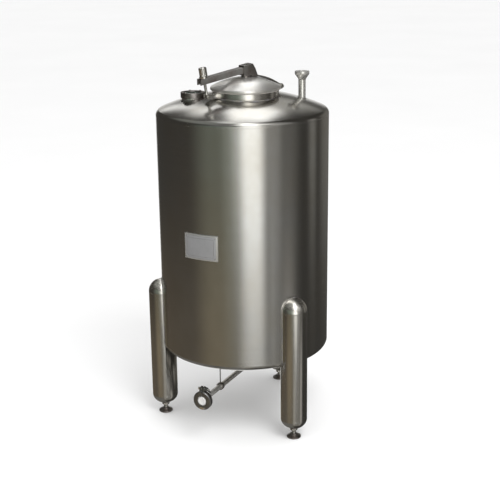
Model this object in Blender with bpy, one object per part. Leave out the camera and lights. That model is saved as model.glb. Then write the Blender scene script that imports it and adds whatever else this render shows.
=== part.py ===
"""Stainless steel storage vessel on three pipe legs, in metres, +Z up.

The vessel's axis is the Z axis and the floor is z = 0. The front, -Y, is the side of the drain and the
nameplate. The lid, its arm and the hand nut turn about the empty lid_hinge.
"""

import math

import bmesh
import bpy
from mathutils import Matrix, Vector

# Vessel
SHELL_RADIUS = 0.300
WALL = 0.003
BOTTOM_TANGENT = 0.290
TOP_TANGENT = 1.115
KNUCKLE_RADIUS = 0.020
TOP_CROWN_RADIUS = 0.730
BOTTOM_CROWN_RADIUS = 0.660

# Legs and feet
LEG_RADIUS = 0.0465
LEG_CIRCLE = 0.3016
LEG_BOTTOM = 0.035
LEG_TOP = 0.520
LEG_BOTTOM_CAP = 0.038
LEG_ANGLES = {"left": 210, "right": 330, "rear": 90}
SCREW_RADIUS = 0.0072
NUT_ACROSS_FLATS = 0.024
NUT_HEIGHT = 0.008
PAD_RADIUS = 0.025
PAD_BOSS = 0.013
PAD_EDGE = 0.006
PAD_HEIGHT = 0.015

# Manway and lid
MANWAY_CENTRE = Vector((0.0262, -0.0258, 0.0))
NECK_RADIUS = 0.114
NECK_TOP = 1.200
GASKET_THICKNESS = 0.0024
GASKET_LAP = 0.002
LID_RADIUS = 0.121
LID_RIM = 0.008
LID_RISE = 0.034
LID_WALL = 0.003

# Lid arm
ARM_ANGLE = 59.4
ARM_SLOPE = math.radians(9)
ARM_THICKNESS = 0.020
ARM_WIDTH = 0.026
ARM_TIP = -0.184
SLOT_WIDTH = 0.015
BLOCK_MIDDLE = 0.007
BLOCK_LENGTH = 0.046
BLOCK_WIDTH = 0.034
BLOCK_BOTTOM = 1.2495
BLOCK_TOP = 1.2885
BLOCK_BEVEL_LENGTH = 0.010
BLOCK_BEVEL_DROP = 0.016
BLOCK_FLANK = 0.012
BOSS_RADIUS = 0.014
BOSS_CLEARANCE = 0.0015
STRAP_THICKNESS = 0.006
STRAP_LIFT = 0.0012
STRAP_START = 0.022

# Hinge
HINGE_OFFSET = 0.1355
HINGE_HEIGHT = 1.203
HINGE_PIN_RADIUS = 0.004
HINGE_PIN_LENGTH = 0.054
KNUCKLE_EYE = 0.0092
KNUCKLE_WIDTH = 0.026
EAR_THICKNESS = 0.007
EAR_SPACING = 0.0172
EAR_DROP = 0.0145
EAR_SHOULDER = 0.005
EAR_THROAT = 0.010
HINGE_PLATE_THICKNESS = 0.004

# Swing bolt and hand nut
BOLT_OFFSET = -0.155
BOLT_HEIGHT = 1.1905
BOLT_TO_ARM = 0.0543
BOLT_RADIUS = 0.005
BOLT_LENGTH = 0.0673
BOLT_SHANK_START = 0.004
LUG_EYE = 0.008
BOLT_EYE = 0.007
BOLT_EYE_WIDTH = 0.010
BOLT_PIN_RADIUS = 0.003
BOLT_PIN_LENGTH = 0.030
LUG_THICKNESS = 0.006
LUG_SPACING = 0.0087
LUG_PLATE_THICKNESS = 0.005
HAND_NUT_RADIUS = 0.0135
HAND_NUT_HEIGHT = 0.036
HAND_NUT_BORE = 0.0078
HAND_NUT_DEPTH = 0.010
HAND_NUT_POINT = 0.012
HAND_NUT_FLANGE = 0.0155
HAND_NUT_FLANGE_HEIGHT = 0.005
HAND_NUT_EDGE = 0.0015

# Inlet
INLET_CIRCLE = 0.209
INLET_ANGLE = 32
INLET_RADIUS = 0.0127
INLET_WALL = 0.0016
FERRULE_RADIUS = 0.02525
INLET_CONE_BOTTOM = 1.226
INLET_CONE_TOP = 1.244
INLET_TOP = 1.254

# Sight port
PORT_CIRCLE = 0.170
PORT_ANGLE = 212
PORT_RADIUS = 0.039
PORT_WALL = 0.004
PORT_TOP = 1.192
PORT_RING_RADIUS = 0.0425
PORT_RING_HEIGHT = 0.018
PORT_RING_LIP = 0.005
PORT_VIEW_RADIUS = 0.029
GLASS_RADIUS = 0.0385
GLASS_THICKNESS = 0.006

# Drain line
DRAIN_HEIGHT = 0.168
DRAIN_RADIUS = 0.0095
DRAIN_WALL = 0.0015
ELBOW_RADIUS = 0.030
ELBOW_TAIL = 0.004
HANGER_OFFSET = 0.205
HANGER_RADIUS = 0.002
COLLAR_RADIUS = 0.0135
COLLAR_WIDTH = 0.014
FRONT_FACE = -0.346
CAP_BOSS_HEIGHT = 0.004
CAP_BOSS_SLOPE = 0.002
HUB_RADIUS = 0.0157
LIP_THICKNESS = 0.005
CLAMP_GASKET = 0.0016
FERRULE_LENGTH = 0.024

# Clamp on the drain's end
CLAMP_RADIUS = 0.034
CLAMP_WALL = 0.003
CLAMP_BEVEL = 0.002
CLAMP_GRIP = 0.0172
CLAMP_SPLIT = 0.0008
CLAMP_EAR_TOP = 0.050
CLAMP_EAR_THICKNESS = 0.008
CLAMP_EAR_GAP = 0.002
CLAMP_EAR_DEPTH = 0.014
CLAMP_BOLT_HEIGHT = 0.0425
CLAMP_BOLT_RADIUS = 0.003
CLAMP_BOLT_HEAD_END = 0.006
CLAMP_BOLT_NUT_END = 0.016
WING_HUB_RADIUS = 0.007
WING_HUB_TOP_RADIUS = 0.0055
WING_HUB_LENGTH = 0.010
WING_THICKNESS = 0.003
WING_TILT = math.radians(40)
WING = ((0.003, 0.0045), (0.009, 0.0045), (0.0145, 0.012), (0.014, 0.017), (0.0085, 0.017), (0.004, 0.010))

# Nameplate
PLATE_ANGLE = 267.4
PLATE_WIDTH = 0.125
PLATE_BOTTOM = 0.664
PLATE_TOP = 0.7515
PLATE_BORDER = 0.005
BRACKET_DEPTH = 0.0045
PLATE_THICKNESS = 0.0012
PLATE_STEPS = 8

# Gaps, and how far a welded piece first runs into the surface that it is then cut to
GAP = 0.0003
PLATE_SINK = 0.008
PLATE_INSET = 0.001

# Mesh detail
ROUND_LARGE = 48
ROUND_MEDIUM = 32
ROUND_LEG = 28
ROUND_SMALL = 24
ROUND_PIN = 20
ROUND_THIN = 12
EYE_STEPS = 14
STRAP_STEPS = 6
SMOOTH_ANGLE = math.radians(40)

# Values worked out from the dimensions above
ARM_DIRECTION = Matrix.Rotation(math.radians(ARM_ANGLE), 4, "Z")
NECK_BORE = NECK_RADIUS - WALL
INLET_BORE = INLET_RADIUS - INLET_WALL
PORT_BORE = PORT_RADIUS - PORT_WALL
DRAIN_BORE = DRAIN_RADIUS - DRAIN_WALL
FITTING_START = TOP_TANGENT + KNUCKLE_RADIUS
NUT_CORNER = NUT_ACROSS_FLATS / math.sqrt(3)
LEG_BOTTOM_FLAT = NUT_CORNER + 0.001
LID_BOTTOM = NECK_TOP + GAP * 2 + GASKET_THICKNESS
LID_APEX = LID_BOTTOM + LID_RIM + LID_RISE
LID_DOME_RADIUS = (LID_RADIUS**2 + LID_RISE**2) / (2 * LID_RISE)
LID_DOME_CENTRE = LID_APEX - LID_DOME_RADIUS
BOLT_MIDDLE = BOLT_OFFSET - math.sin(ARM_SLOPE) * BOLT_TO_ARM
LIP_FRONT = FRONT_FACE + CAP_BOSS_HEIGHT
GASKET_FRONT = LIP_FRONT + LIP_THICKNESS + GAP
GASKET_BACK = GASKET_FRONT + CLAMP_GASKET
GASKET_MIDDLE = (GASKET_FRONT + GASKET_BACK) / 2
FERRULE_FRONT = GASKET_BACK + GAP
FERRULE_BACK = FERRULE_FRONT + FERRULE_LENGTH
BEYOND = BLOCK_TOP + 0.05


def clear_scene():
    for obj in list(bpy.data.objects):
        bpy.data.objects.remove(obj, do_unlink=True)


def material(name, colour, roughness, metallic=1.0):
    made = bpy.data.materials.new(name)
    made.use_nodes = True
    shader = made.node_tree.nodes["Principled BSDF"]
    shader.inputs["Base Color"].default_value = (*colour, 1.0)
    shader.inputs["Roughness"].default_value = roughness
    shader.inputs["Metallic"].default_value = metallic
    return made


def finish(name, mesh, look):
    """Links a closed bmesh as a named object with its normals outward and its round faces smooth."""
    bmesh.ops.recalc_face_normals(mesh, faces=mesh.faces)
    data = bpy.data.meshes.new(name)
    mesh.to_mesh(data)
    mesh.free()
    data.shade_smooth()
    data.set_sharp_from_angle(angle=SMOOTH_ANGLE)
    data.materials.append(look)
    obj = bpy.data.objects.new(name, data)
    bpy.context.scene.collection.objects.link(obj)
    return obj


def turned(name, profile, look, segments=ROUND_LARGE, matrix=Matrix()):
    """Turns a closed outline of (radius, height) points about Z. A point on the axis becomes one vertex."""
    mesh = bmesh.new()
    rings = []
    for radius, height in profile:
        if radius < GAP:
            rings.append([mesh.verts.new((0, 0, height))] * segments)
            continue
        angles = (2 * math.pi * i / segments for i in range(segments))
        rings.append([mesh.verts.new((radius * math.cos(a), radius * math.sin(a), height)) for a in angles])
    for lower, upper in zip(rings, rings[1:] + rings[:1]):
        for i in range(segments):
            j = (i + 1) % segments
            corners = list(dict.fromkeys((lower[i], lower[j], upper[j], upper[i])))
            if len(corners) > 2:
                mesh.faces.new(corners)
    obj = finish(name, mesh, look)
    obj.matrix_world = matrix
    return obj


def extruded(name, outline, thickness, look, matrix=Matrix()):
    """Extrudes a closed outline in the XZ plane by its thickness, centred on Y."""
    mesh = bmesh.new()
    near = [mesh.verts.new((x, -thickness / 2, z)) for x, z in outline]
    far = [mesh.verts.new((x, thickness / 2, z)) for x, z in outline]
    mesh.faces.new(near)
    mesh.faces.new(far[::-1])
    for i in range(len(outline)):
        j = (i + 1) % len(outline)
        mesh.faces.new((near[i], far[i], far[j], near[j]))
    obj = finish(name, mesh, look)
    obj.matrix_world = matrix
    return obj


def tube_along(name, path, outer, inner, look, segments=18):
    """A hollow tube swept along a path in the YZ plane, open at both ends."""
    mesh = bmesh.new()
    across = Vector((1, 0, 0))
    rings = []
    for i, point in enumerate(path):
        before = path[max(i - 1, 0)]
        after = path[min(i + 1, len(path) - 1)]
        up = across.cross((after - before).normalized())
        pair = []
        for radius in (outer, inner):
            angles = (2 * math.pi * k / segments for k in range(segments))
            spokes = (math.cos(a) * across + math.sin(a) * up for a in angles)
            pair.append([mesh.verts.new(point + radius * spoke) for spoke in spokes])
        rings.append(pair)
    for k in range(segments):
        m = (k + 1) % segments
        for first, second in zip(rings, rings[1:]):
            mesh.faces.new((first[0][k], first[0][m], second[0][m], second[0][k]))
            mesh.faces.new((first[1][k], second[1][k], second[1][m], first[1][m]))
        for outside, inside in (rings[0], rings[-1]):
            mesh.faces.new((outside[k], outside[m], inside[m], inside[k]))
    return finish(name, mesh, look)


def boolean(obj, other, operation="DIFFERENCE"):
    """Cuts or joins another object, which then serves only as a guide."""
    other.hide_render = True
    other.display_type = "WIRE"
    modifier = obj.modifiers.new(operation.title() + " " + other.name, "BOOLEAN")
    modifier.operation = operation
    modifier.object = other
    modifier.solver = "EXACT"


def bar(radius, low, high):
    """The outline of a solid round bar or disc, to be turned."""
    return [(0, low), (radius, low), (radius, high), (0, high)]


def ring(inner, outer, low, high):
    """The outline of a plain ring or tube, to be turned."""
    return rectangle(inner, outer, low, high)


def rectangle(left, right, low, high):
    return [(right, low), (right, high), (left, high), (left, low)]


def arc(centre, radius, start, end, steps):
    """Points on an arc in the plane of an outline, its angles in degrees."""
    points = []
    for i in range(steps + 1):
        a = math.radians(start + (end - start) * i / steps)
        points.append((centre[0] + radius * math.cos(a), centre[1] + radius * math.sin(a)))
    return points


def polar(radius, degrees, height=0.0):
    a = math.radians(degrees)
    return Vector((radius * math.cos(a), radius * math.sin(a), height))


def rod(name, start, end, radius, look, segments=ROUND_PIN):
    """A round bar between two points."""
    along = end - start
    turn = Vector((0, 0, 1)).rotation_difference(along).to_matrix().to_4x4()
    return turned(name, bar(radius, 0, along.length), look, segments, Matrix.Translation(start) @ turn)


def crown_drop(crown):
    """How far a head's crown centre lies behind its tangent line."""
    return math.sqrt((crown - KNUCKLE_RADIUS) ** 2 - (SHELL_RADIUS - KNUCKLE_RADIUS) ** 2)


def head_arc(tangent, up, crown, offset):
    """A dished head's curve from its tangent line to the axis, moved outward by offset."""
    reach = SHELL_RADIUS - KNUCKLE_RADIUS
    drop = crown_drop(crown)
    meet = math.degrees(math.atan2(drop, reach))
    curve = arc((reach, 0), KNUCKLE_RADIUS + offset, 0, meet, 4)
    curve += arc((0, -drop), crown + offset, meet, 90, 4)[1:]
    return [(radius, tangent + up * height) for radius, height in curve]


def bottom_height(radius):
    """The height of the bottom head's outer face at a distance from the axis, on its crown."""
    return BOTTOM_TANGENT - math.sqrt(BOTTOM_CROWN_RADIUS**2 - radius**2) + crown_drop(BOTTOM_CROWN_RADIUS)


def head(name, tangent, up, crown):
    outer = head_arc(tangent, up, crown, 0)
    inner = head_arc(tangent, up, crown, -WALL)
    return turned(name, outer + inner[::-1], steel_head)


def drill(obj, name, centre, radius, segments):
    """Bores an object straight down."""
    top = centre + Vector((0, 0, BEYOND))
    boolean(obj, rod(name, centre, top, radius, steel_head, segments))


def build_vessel():
    wall = ring(SHELL_RADIUS - WALL, SHELL_RADIUS, BOTTOM_TANGENT + GAP, TOP_TANGENT - GAP)
    turned("shell", wall, steel_shell)
    top = head("top_head", TOP_TANGENT, 1, TOP_CROWN_RADIUS)
    drill(top, "manway_hole", MANWAY_CENTRE, NECK_BORE, ROUND_LARGE)
    drill(top, "inlet_hole", polar(INLET_CIRCLE, INLET_ANGLE), INLET_BORE, ROUND_SMALL)
    drill(top, "port_hole", polar(PORT_CIRCLE, PORT_ANGLE), PORT_BORE, ROUND_MEDIUM)
    bottom = head("bottom_head", BOTTOM_TANGENT, -1, BOTTOM_CROWN_RADIUS)
    drill(bottom, "outlet_hole", Vector(), DRAIN_BORE, ROUND_SMALL)


def vessel_guide():
    """A solid just larger than the vessel's outer shape, to cut what is welded to it."""
    bottom = head_arc(BOTTOM_TANGENT, -1, BOTTOM_CROWN_RADIUS, GAP)
    top = head_arc(TOP_TANGENT, 1, TOP_CROWN_RADIUS, GAP)
    return turned("vessel_guide", bottom + top[::-1], steel_shell)


def neck_guide(name):
    """A solid just larger than the manway's neck, to cut what is welded to it."""
    start = MANWAY_CENTRE + Vector((0, 0, TOP_TANGENT))
    end = MANWAY_CENTRE + Vector((0, 0, BEYOND))
    return rod(name, start, end, NECK_RADIUS + GAP, steel_bright, ROUND_LARGE)


def build_legs(guide):
    outline = [(0, LEG_BOTTOM), (LEG_BOTTOM_FLAT, LEG_BOTTOM)]
    for degrees in range(30, 91, 15):
        a = math.radians(degrees)
        outline.append((LEG_RADIUS * math.sin(a), LEG_BOTTOM + LEG_BOTTOM_CAP * (1 - math.cos(a))))
    outline += arc((0, LEG_TOP - LEG_RADIUS), LEG_RADIUS, 0, 90, 6)
    for side, angle in LEG_ANGLES.items():
        place = Matrix.Translation(polar(LEG_CIRCLE, angle))
        boolean(turned("leg_" + side, outline, steel_leg, ROUND_LEG, place), guide)
        build_foot(side, place)


def build_foot(side, place):
    nut_top = LEG_BOTTOM - GAP
    bore = (SCREW_RADIUS + GAP) / math.cos(math.radians(30))
    nut = ring(bore, NUT_CORNER, nut_top - NUT_HEIGHT, nut_top)
    pad = [(0, 0), (PAD_RADIUS, 0), (PAD_RADIUS, PAD_EDGE), (PAD_BOSS, PAD_HEIGHT), (0, PAD_HEIGHT)]
    turned("foot_nut_" + side, nut, steel_bright, 6, place)
    turned("foot_screw_" + side, bar(SCREW_RADIUS, PAD_HEIGHT + GAP, nut_top), steel_bright, ROUND_PIN, place)
    turned("foot_pad_" + side, pad, steel_dark, ROUND_SMALL, place)


def on_arm(offset, height, side=0.0):
    """A point placed by the lid's arm: its distance along it from the manway's centre, height and side."""
    return MANWAY_CENTRE + ARM_DIRECTION @ Vector((offset, side, height))


def arm_frame(offset=0.0, height=0.0, side=0.0):
    return Matrix.Translation(on_arm(offset, height, side)) @ ARM_DIRECTION


def cross_pin(name, offset, height, length, radius, look):
    """A pin, or the hole for one, square to the arm."""
    half = length / 2
    return rod(name, on_arm(offset, height, -half), on_arm(offset, height, half), radius, look)


def add_cheeks(obj, outline, thickness, spacing):
    """Joins two like cheeks to a bracket, one on each side of the arm's middle."""
    for side, end in ((-1, "_near_cheek"), (1, "_far_cheek")):
        place = arm_frame(side=side * spacing)
        boolean(obj, extruded(obj.name + end, outline, thickness, steel_bright, place), "UNION")


def build_manway(guide):
    centre = Matrix.Translation(MANWAY_CENTRE)
    neck = ring(NECK_BORE, NECK_RADIUS, FITTING_START, NECK_TOP)
    boolean(turned("manway_neck", neck, steel_bright, ROUND_LARGE, centre), guide)
    low = NECK_TOP + GAP
    gasket = ring(NECK_BORE - GASKET_LAP, NECK_RADIUS + GASKET_LAP, low, low + GASKET_THICKNESS)
    turned("manway_gasket", gasket, rubber, ROUND_LARGE, centre)


def build_hinge_bracket(guide):
    """Two ears on the neck with the pin through them, joined by a plate against the neck."""
    root = NECK_RADIUS - PLATE_SINK
    low = NECK_TOP - EAR_DROP
    high = NECK_TOP - EAR_SHOULDER
    face = NECK_RADIUS + HINGE_PLATE_THICKNESS
    plate = rectangle(root, face, low + PLATE_INSET, high - PLATE_INSET)
    width = 2 * EAR_SPACING + EAR_THICKNESS
    bracket = extruded("hinge_bracket", plate, width, steel_bright, arm_frame())
    eye = arc((HINGE_OFFSET, HINGE_HEIGHT), KNUCKLE_EYE, 150, -90, EYE_STEPS)
    ear = [(root, low), (root, high), (HINGE_OFFSET - EAR_THROAT, high)] + eye
    add_cheeks(bracket, ear, EAR_THICKNESS, EAR_SPACING)
    boolean(bracket, neck_guide("neck_hinge_guide"))
    boolean(bracket, guide)
    hole = HINGE_PIN_RADIUS + GAP
    boolean(bracket, cross_pin("ear_holes", HINGE_OFFSET, HINGE_HEIGHT, HINGE_PIN_LENGTH, hole, steel_dark))
    cross_pin("hinge_pin", HINGE_OFFSET, HINGE_HEIGHT, HINGE_PIN_LENGTH, HINGE_PIN_RADIUS, steel_dark)


def build_swing_bolt(guide):
    """The lug on the neck, and the eye bolt that leans out from it through the arm's slot."""
    root = PLATE_SINK - NECK_RADIUS
    face = -NECK_RADIUS - LUG_PLATE_THICKNESS
    half = LUG_EYE - PLATE_INSET
    plate = rectangle(root, face, BOLT_HEIGHT - half, BOLT_HEIGHT + half)
    width = 2 * LUG_SPACING + LUG_THICKNESS
    lug = extruded("bolt_lug", plate, width, steel_bright, arm_frame())
    eye = arc((BOLT_OFFSET, BOLT_HEIGHT), LUG_EYE, 90, 270, 8)
    add_cheeks(lug, eye + [(root, BOLT_HEIGHT - LUG_EYE), (root, BOLT_HEIGHT + LUG_EYE)],
               LUG_THICKNESS, LUG_SPACING)
    hole = BOLT_PIN_RADIUS + GAP
    boolean(lug, cross_pin("lug_holes", BOLT_OFFSET, BOLT_HEIGHT, BOLT_PIN_LENGTH, hole, steel_dark))
    boolean(lug, neck_guide("neck_bolt_guide"))
    boolean(lug, guide)
    cross_pin("bolt_pin", BOLT_OFFSET, BOLT_HEIGHT, BOLT_PIN_LENGTH, BOLT_PIN_RADIUS, steel_dark)
    circle = arc((0, 0), BOLT_EYE, 0, 360, ROUND_PIN)[:-1]
    pivot = arm_frame(BOLT_OFFSET, BOLT_HEIGHT)
    bolt = extruded("swing_bolt", circle, BOLT_EYE_WIDTH, steel_bright, pivot)
    start = pivot.translation + bolt_direction() * BOLT_SHANK_START
    end = pivot.translation + bolt_direction() * BOLT_LENGTH
    boolean(bolt, rod("bolt_shank", start, end, BOLT_RADIUS, steel_bright), "UNION")
    boolean(bolt, cross_pin("bolt_hole", BOLT_OFFSET, BOLT_HEIGHT, BOLT_PIN_LENGTH, hole, steel_dark))


def bolt_direction():
    """The swing bolt stands square to the sloping arm, so it leans outward."""
    return ARM_DIRECTION @ Vector((-math.sin(ARM_SLOPE), 0, math.cos(ARM_SLOPE)))


def arm_height(offset):
    """The height of the near half's centre line, which crosses the swing bolt square."""
    crossing = BOLT_HEIGHT + math.cos(ARM_SLOPE) * BOLT_TO_ARM
    return crossing + (offset - BOLT_MIDDLE) * math.tan(ARM_SLOPE)


def dome_height(offset, lift=0.0):
    """The height over the lid's dome at a distance from its centre."""
    return LID_DOME_CENTRE + math.sqrt((LID_DOME_RADIUS + lift) ** 2 - offset**2)


def build_lid():
    edge = 90 - math.degrees(math.asin(LID_RADIUS / LID_DOME_RADIUS))
    outer = arc((0, LID_DOME_CENTRE), LID_DOME_RADIUS, edge, 90, 6)
    inner = arc((0, LID_DOME_CENTRE), LID_DOME_RADIUS - LID_WALL, edge, 90, 6)
    inner = [point for point in inner if point[0] < NECK_BORE]
    outline = [(LID_RADIUS, LID_BOTTOM)] + outer + inner[::-1] + [(inner[0][0], LID_BOTTOM)]
    turned("lid", outline, steel_polished, ROUND_LARGE, Matrix.Translation(MANWAY_CENTRE))


def build_arm():
    """A sloping bar from the swing bolt to a block over the lid's middle, then a strap to the hinge's eye."""
    half = ARM_THICKNESS / 2 / math.cos(ARM_SLOPE)
    low = [(offset, arm_height(offset) - half) for offset in (ARM_TIP, BLOCK_MIDDLE)]
    high = [(offset, height + 2 * half) for offset, height in low[::-1]]
    arm = extruded("lid_arm", low + high, ARM_WIDTH, steel_dark, arm_frame())
    block = extruded("arm_block", block_outline(), BLOCK_WIDTH, steel_dark, arm_frame())
    boolean(arm, block, "UNION")
    strap = extruded("arm_strap", strap_outline(), KNUCKLE_WIDTH, steel_dark, arm_frame())
    boolean(arm, strap, "UNION")
    bore = HINGE_PIN_RADIUS + 2 * GAP
    boolean(arm, cross_pin("knuckle_bore", HINGE_OFFSET, HINGE_HEIGHT, HINGE_PIN_LENGTH, bore, steel_dark))
    slot = rectangle(ARM_TIP - PLATE_SINK, BOLT_MIDDLE + SLOT_WIDTH / 2, NECK_TOP, BLOCK_TOP)
    boolean(arm, extruded("arm_slot", slot, SLOT_WIDTH, steel_dark, arm_frame()))
    build_boss()


def block_outline():
    near = BLOCK_MIDDLE - BLOCK_LENGTH / 2
    far = BLOCK_MIDDLE + BLOCK_LENGTH / 2
    seat = BOSS_RADIUS + BOSS_CLEARANCE
    flank = far + BLOCK_FLANK
    crest = far - BLOCK_BEVEL_LENGTH
    near_top = BLOCK_TOP - math.tan(ARM_SLOPE) * (crest - near)
    underside = [(near, BLOCK_BOTTOM), (seat, BLOCK_BOTTOM), (seat, dome_height(seat, STRAP_LIFT))]
    return underside + [(flank, dome_height(flank, STRAP_LIFT)), (far, BLOCK_TOP - BLOCK_BEVEL_DROP),
                        (crest, BLOCK_TOP), (near, near_top)]


def strap_outline():
    """A strap that follows the dome, ending in the hinge's eye."""
    stations = [STRAP_START + (LID_RADIUS - STRAP_START) * i / STRAP_STEPS for i in range(STRAP_STEPS + 1)]
    under = [(offset, dome_height(offset, STRAP_LIFT)) for offset in stations]
    over = [(offset, dome_height(offset, STRAP_LIFT + STRAP_THICKNESS)) for offset in stations]
    return under + arc((HINGE_OFFSET, HINGE_HEIGHT), KNUCKLE_EYE, -210, 100, EYE_STEPS) + over[::-1]


def build_boss():
    """The short post between the arm's block and the lid's dome."""
    seat = [(radius, dome_height(radius, GAP)) for radius in (0, BOSS_RADIUS / 2, BOSS_RADIUS)]
    top = BLOCK_BOTTOM - GAP
    outline = seat + [(BOSS_RADIUS, top), (0, top)]
    turned("lid_boss", outline, steel_dark, ROUND_SMALL, Matrix.Translation(MANWAY_CENTRE))


def build_hand_nut():
    """The hand nut rests on the arm and is bored wide, so that it lifts off the bolt with the arm."""
    base = BOLT_TO_ARM + ARM_THICKNESS / 2 + GAP
    turn = Vector((0, 0, 1)).rotation_difference(bolt_direction()).to_matrix().to_4x4()
    place = Matrix.Translation(on_arm(BOLT_OFFSET, BOLT_HEIGHT) + bolt_direction() * base) @ turn
    grip_start = HAND_NUT_FLANGE_HEIGHT + HAND_NUT_FLANGE - HAND_NUT_RADIUS
    flange = [(HAND_NUT_BORE, 0), (HAND_NUT_FLANGE, 0), (HAND_NUT_FLANGE, HAND_NUT_FLANGE_HEIGHT)]
    grip = [(HAND_NUT_RADIUS, grip_start), (HAND_NUT_RADIUS, HAND_NUT_HEIGHT - HAND_NUT_EDGE)]
    top = [(HAND_NUT_RADIUS - HAND_NUT_EDGE, HAND_NUT_HEIGHT), (0, HAND_NUT_HEIGHT)]
    bore = [(0, HAND_NUT_POINT), (HAND_NUT_BORE, HAND_NUT_DEPTH)]
    turned("hand_nut", flange + grip + top + bore, steel_dark, ROUND_SMALL, place)


def build_moving():
    """The lid, its arm and the hand nut, all carried by an empty on the hinge's axis."""
    fixed = set(bpy.data.objects)
    build_lid()
    build_arm()
    build_hand_nut()
    moving = [obj for obj in bpy.data.objects if obj not in fixed]
    hinge = bpy.data.objects.new("lid_hinge", None)
    bpy.context.scene.collection.objects.link(hinge)
    hinge.matrix_world = arm_frame(HINGE_OFFSET, HINGE_HEIGHT)
    for obj in moving:
        obj.parent = hinge
        obj.matrix_parent_inverse = arm_frame(HINGE_OFFSET, HINGE_HEIGHT).inverted()


def build_inlet(guide):
    place = Matrix.Translation(polar(INLET_CIRCLE, INLET_ANGLE))
    tube = ring(INLET_BORE, INLET_RADIUS, FITTING_START, INLET_CONE_BOTTOM - GAP)
    boolean(turned("inlet_tube", tube, steel_bright, ROUND_SMALL, place), guide)
    base = [(INLET_BORE, INLET_CONE_BOTTOM), (INLET_RADIUS, INLET_CONE_BOTTOM)]
    rim = [(FERRULE_RADIUS, INLET_CONE_TOP), (FERRULE_RADIUS, INLET_TOP)]
    ferrule = base + rim + [(INLET_BORE, INLET_TOP)]
    turned("inlet_ferrule", ferrule, steel_bright, ROUND_MEDIUM, place)


def build_sight_port(guide):
    place = Matrix.Translation(polar(PORT_CIRCLE, PORT_ANGLE))
    glass_top = PORT_TOP - PORT_RING_LIP - GAP
    glass_bottom = glass_top - GLASS_THICKNESS
    body = ring(PORT_BORE, PORT_RADIUS, FITTING_START, glass_bottom - GAP)
    boolean(turned("sight_port_body", body, steel_bright, ROUND_MEDIUM, place), guide)
    turned("sight_glass", bar(GLASS_RADIUS, glass_bottom, glass_top), glass, ROUND_MEDIUM, place)
    inside = PORT_RADIUS + GAP
    ring_low = PORT_TOP - PORT_RING_HEIGHT
    lip = PORT_TOP - PORT_RING_LIP
    outline = [(PORT_RING_RADIUS, ring_low), (PORT_RING_RADIUS, PORT_TOP), (PORT_VIEW_RADIUS, PORT_TOP),
               (PORT_VIEW_RADIUS, lip), (inside, lip), (inside, ring_low)]
    boolean(turned("sight_port_ring", outline, steel_dark, ROUND_MEDIUM, place), guide)


def facing_front(y=0.0):
    """Puts a turned piece on the drain's axis, with its own +Z toward the front."""
    return Matrix.Translation(Vector((0, y, DRAIN_HEIGHT))) @ Matrix.Rotation(math.radians(90), 4, "X")


def on_drain(y):
    return Vector((0, y, DRAIN_HEIGHT))


def build_drain_line(guide):
    """The bottom outlet's elbow, and the pipe that runs from it under the vessel to the front."""
    top = Vector((0, 0, bottom_height(0) + PLATE_SINK))
    bend = arc((-ELBOW_RADIUS, DRAIN_HEIGHT + ELBOW_RADIUS), ELBOW_RADIUS, 0, -90, 6)
    tail = -ELBOW_RADIUS - ELBOW_TAIL
    path = [top] + [Vector((0, y, z)) for y, z in bend] + [on_drain(tail)]
    boolean(tube_along("outlet_elbow", path, DRAIN_RADIUS, DRAIN_BORE, steel_bright), guide)
    straight = [on_drain(tail - GAP), on_drain(FERRULE_BACK + GAP)]
    tube_along("drain_pipe", straight, DRAIN_RADIUS, DRAIN_BORE, steel_bright)
    build_hanger(guide)


def build_hanger(guide):
    """A collar round the pipe, hung from the bottom head by a thin rod."""
    collar = ring(DRAIN_RADIUS + GAP, COLLAR_RADIUS, 0, COLLAR_WIDTH)
    turned("drain_collar", collar, steel_dark, ROUND_SMALL, facing_front(COLLAR_WIDTH / 2 - HANGER_OFFSET))
    foot = Vector((0, -HANGER_OFFSET, DRAIN_HEIGHT + COLLAR_RADIUS + GAP))
    top = Vector((0, -HANGER_OFFSET, bottom_height(HANGER_OFFSET) + PLATE_SINK))
    boolean(rod("hanger_rod", foot, top, HANGER_RADIUS, steel_bright, ROUND_THIN), guide)


def build_drain_end():
    """The pipe's ferrule, a gasket and a blank cap, gripped together by a clamp."""
    place = facing_front()
    back = -FERRULE_FRONT - LIP_THICKNESS
    ferrule = [(DRAIN_RADIUS, -FERRULE_BACK), (HUB_RADIUS, back), (FERRULE_RADIUS, back),
               (FERRULE_RADIUS, -FERRULE_FRONT), (DRAIN_BORE, -FERRULE_FRONT), (DRAIN_BORE, -FERRULE_BACK)]
    turned("drain_ferrule", ferrule, steel_bright, ROUND_MEDIUM, place)
    gasket = ring(DRAIN_BORE, FERRULE_RADIUS, -GASKET_BACK, -GASKET_FRONT)
    turned("drain_gasket", gasket, rubber, ROUND_MEDIUM, place)
    lip = [(0, -LIP_FRONT - LIP_THICKNESS), (FERRULE_RADIUS, -LIP_FRONT - LIP_THICKNESS),
           (FERRULE_RADIUS, -LIP_FRONT)]
    boss = [(HUB_RADIUS, -LIP_FRONT), (HUB_RADIUS - CAP_BOSS_SLOPE, -FRONT_FACE), (0, -FRONT_FACE)]
    turned("drain_cap", lip + boss, steel_polished, ROUND_MEDIUM, place)
    build_clamp_half("clamp_left", -1)
    build_clamp_half("clamp_right", 1)
    reach = CLAMP_EAR_GAP + CLAMP_EAR_THICKNESS
    rod("clamp_bolt", on_clamp_bolt(-reach - CLAMP_BOLT_HEAD_END), on_clamp_bolt(reach + CLAMP_BOLT_NUT_END),
        CLAMP_BOLT_RADIUS, steel_bright, ROUND_PIN)
    build_wing_nut(on_clamp_bolt(reach + GAP))


def on_clamp_bolt(x):
    return Vector((x, GASKET_MIDDLE, DRAIN_HEIGHT + CLAMP_BOLT_HEIGHT))


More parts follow.
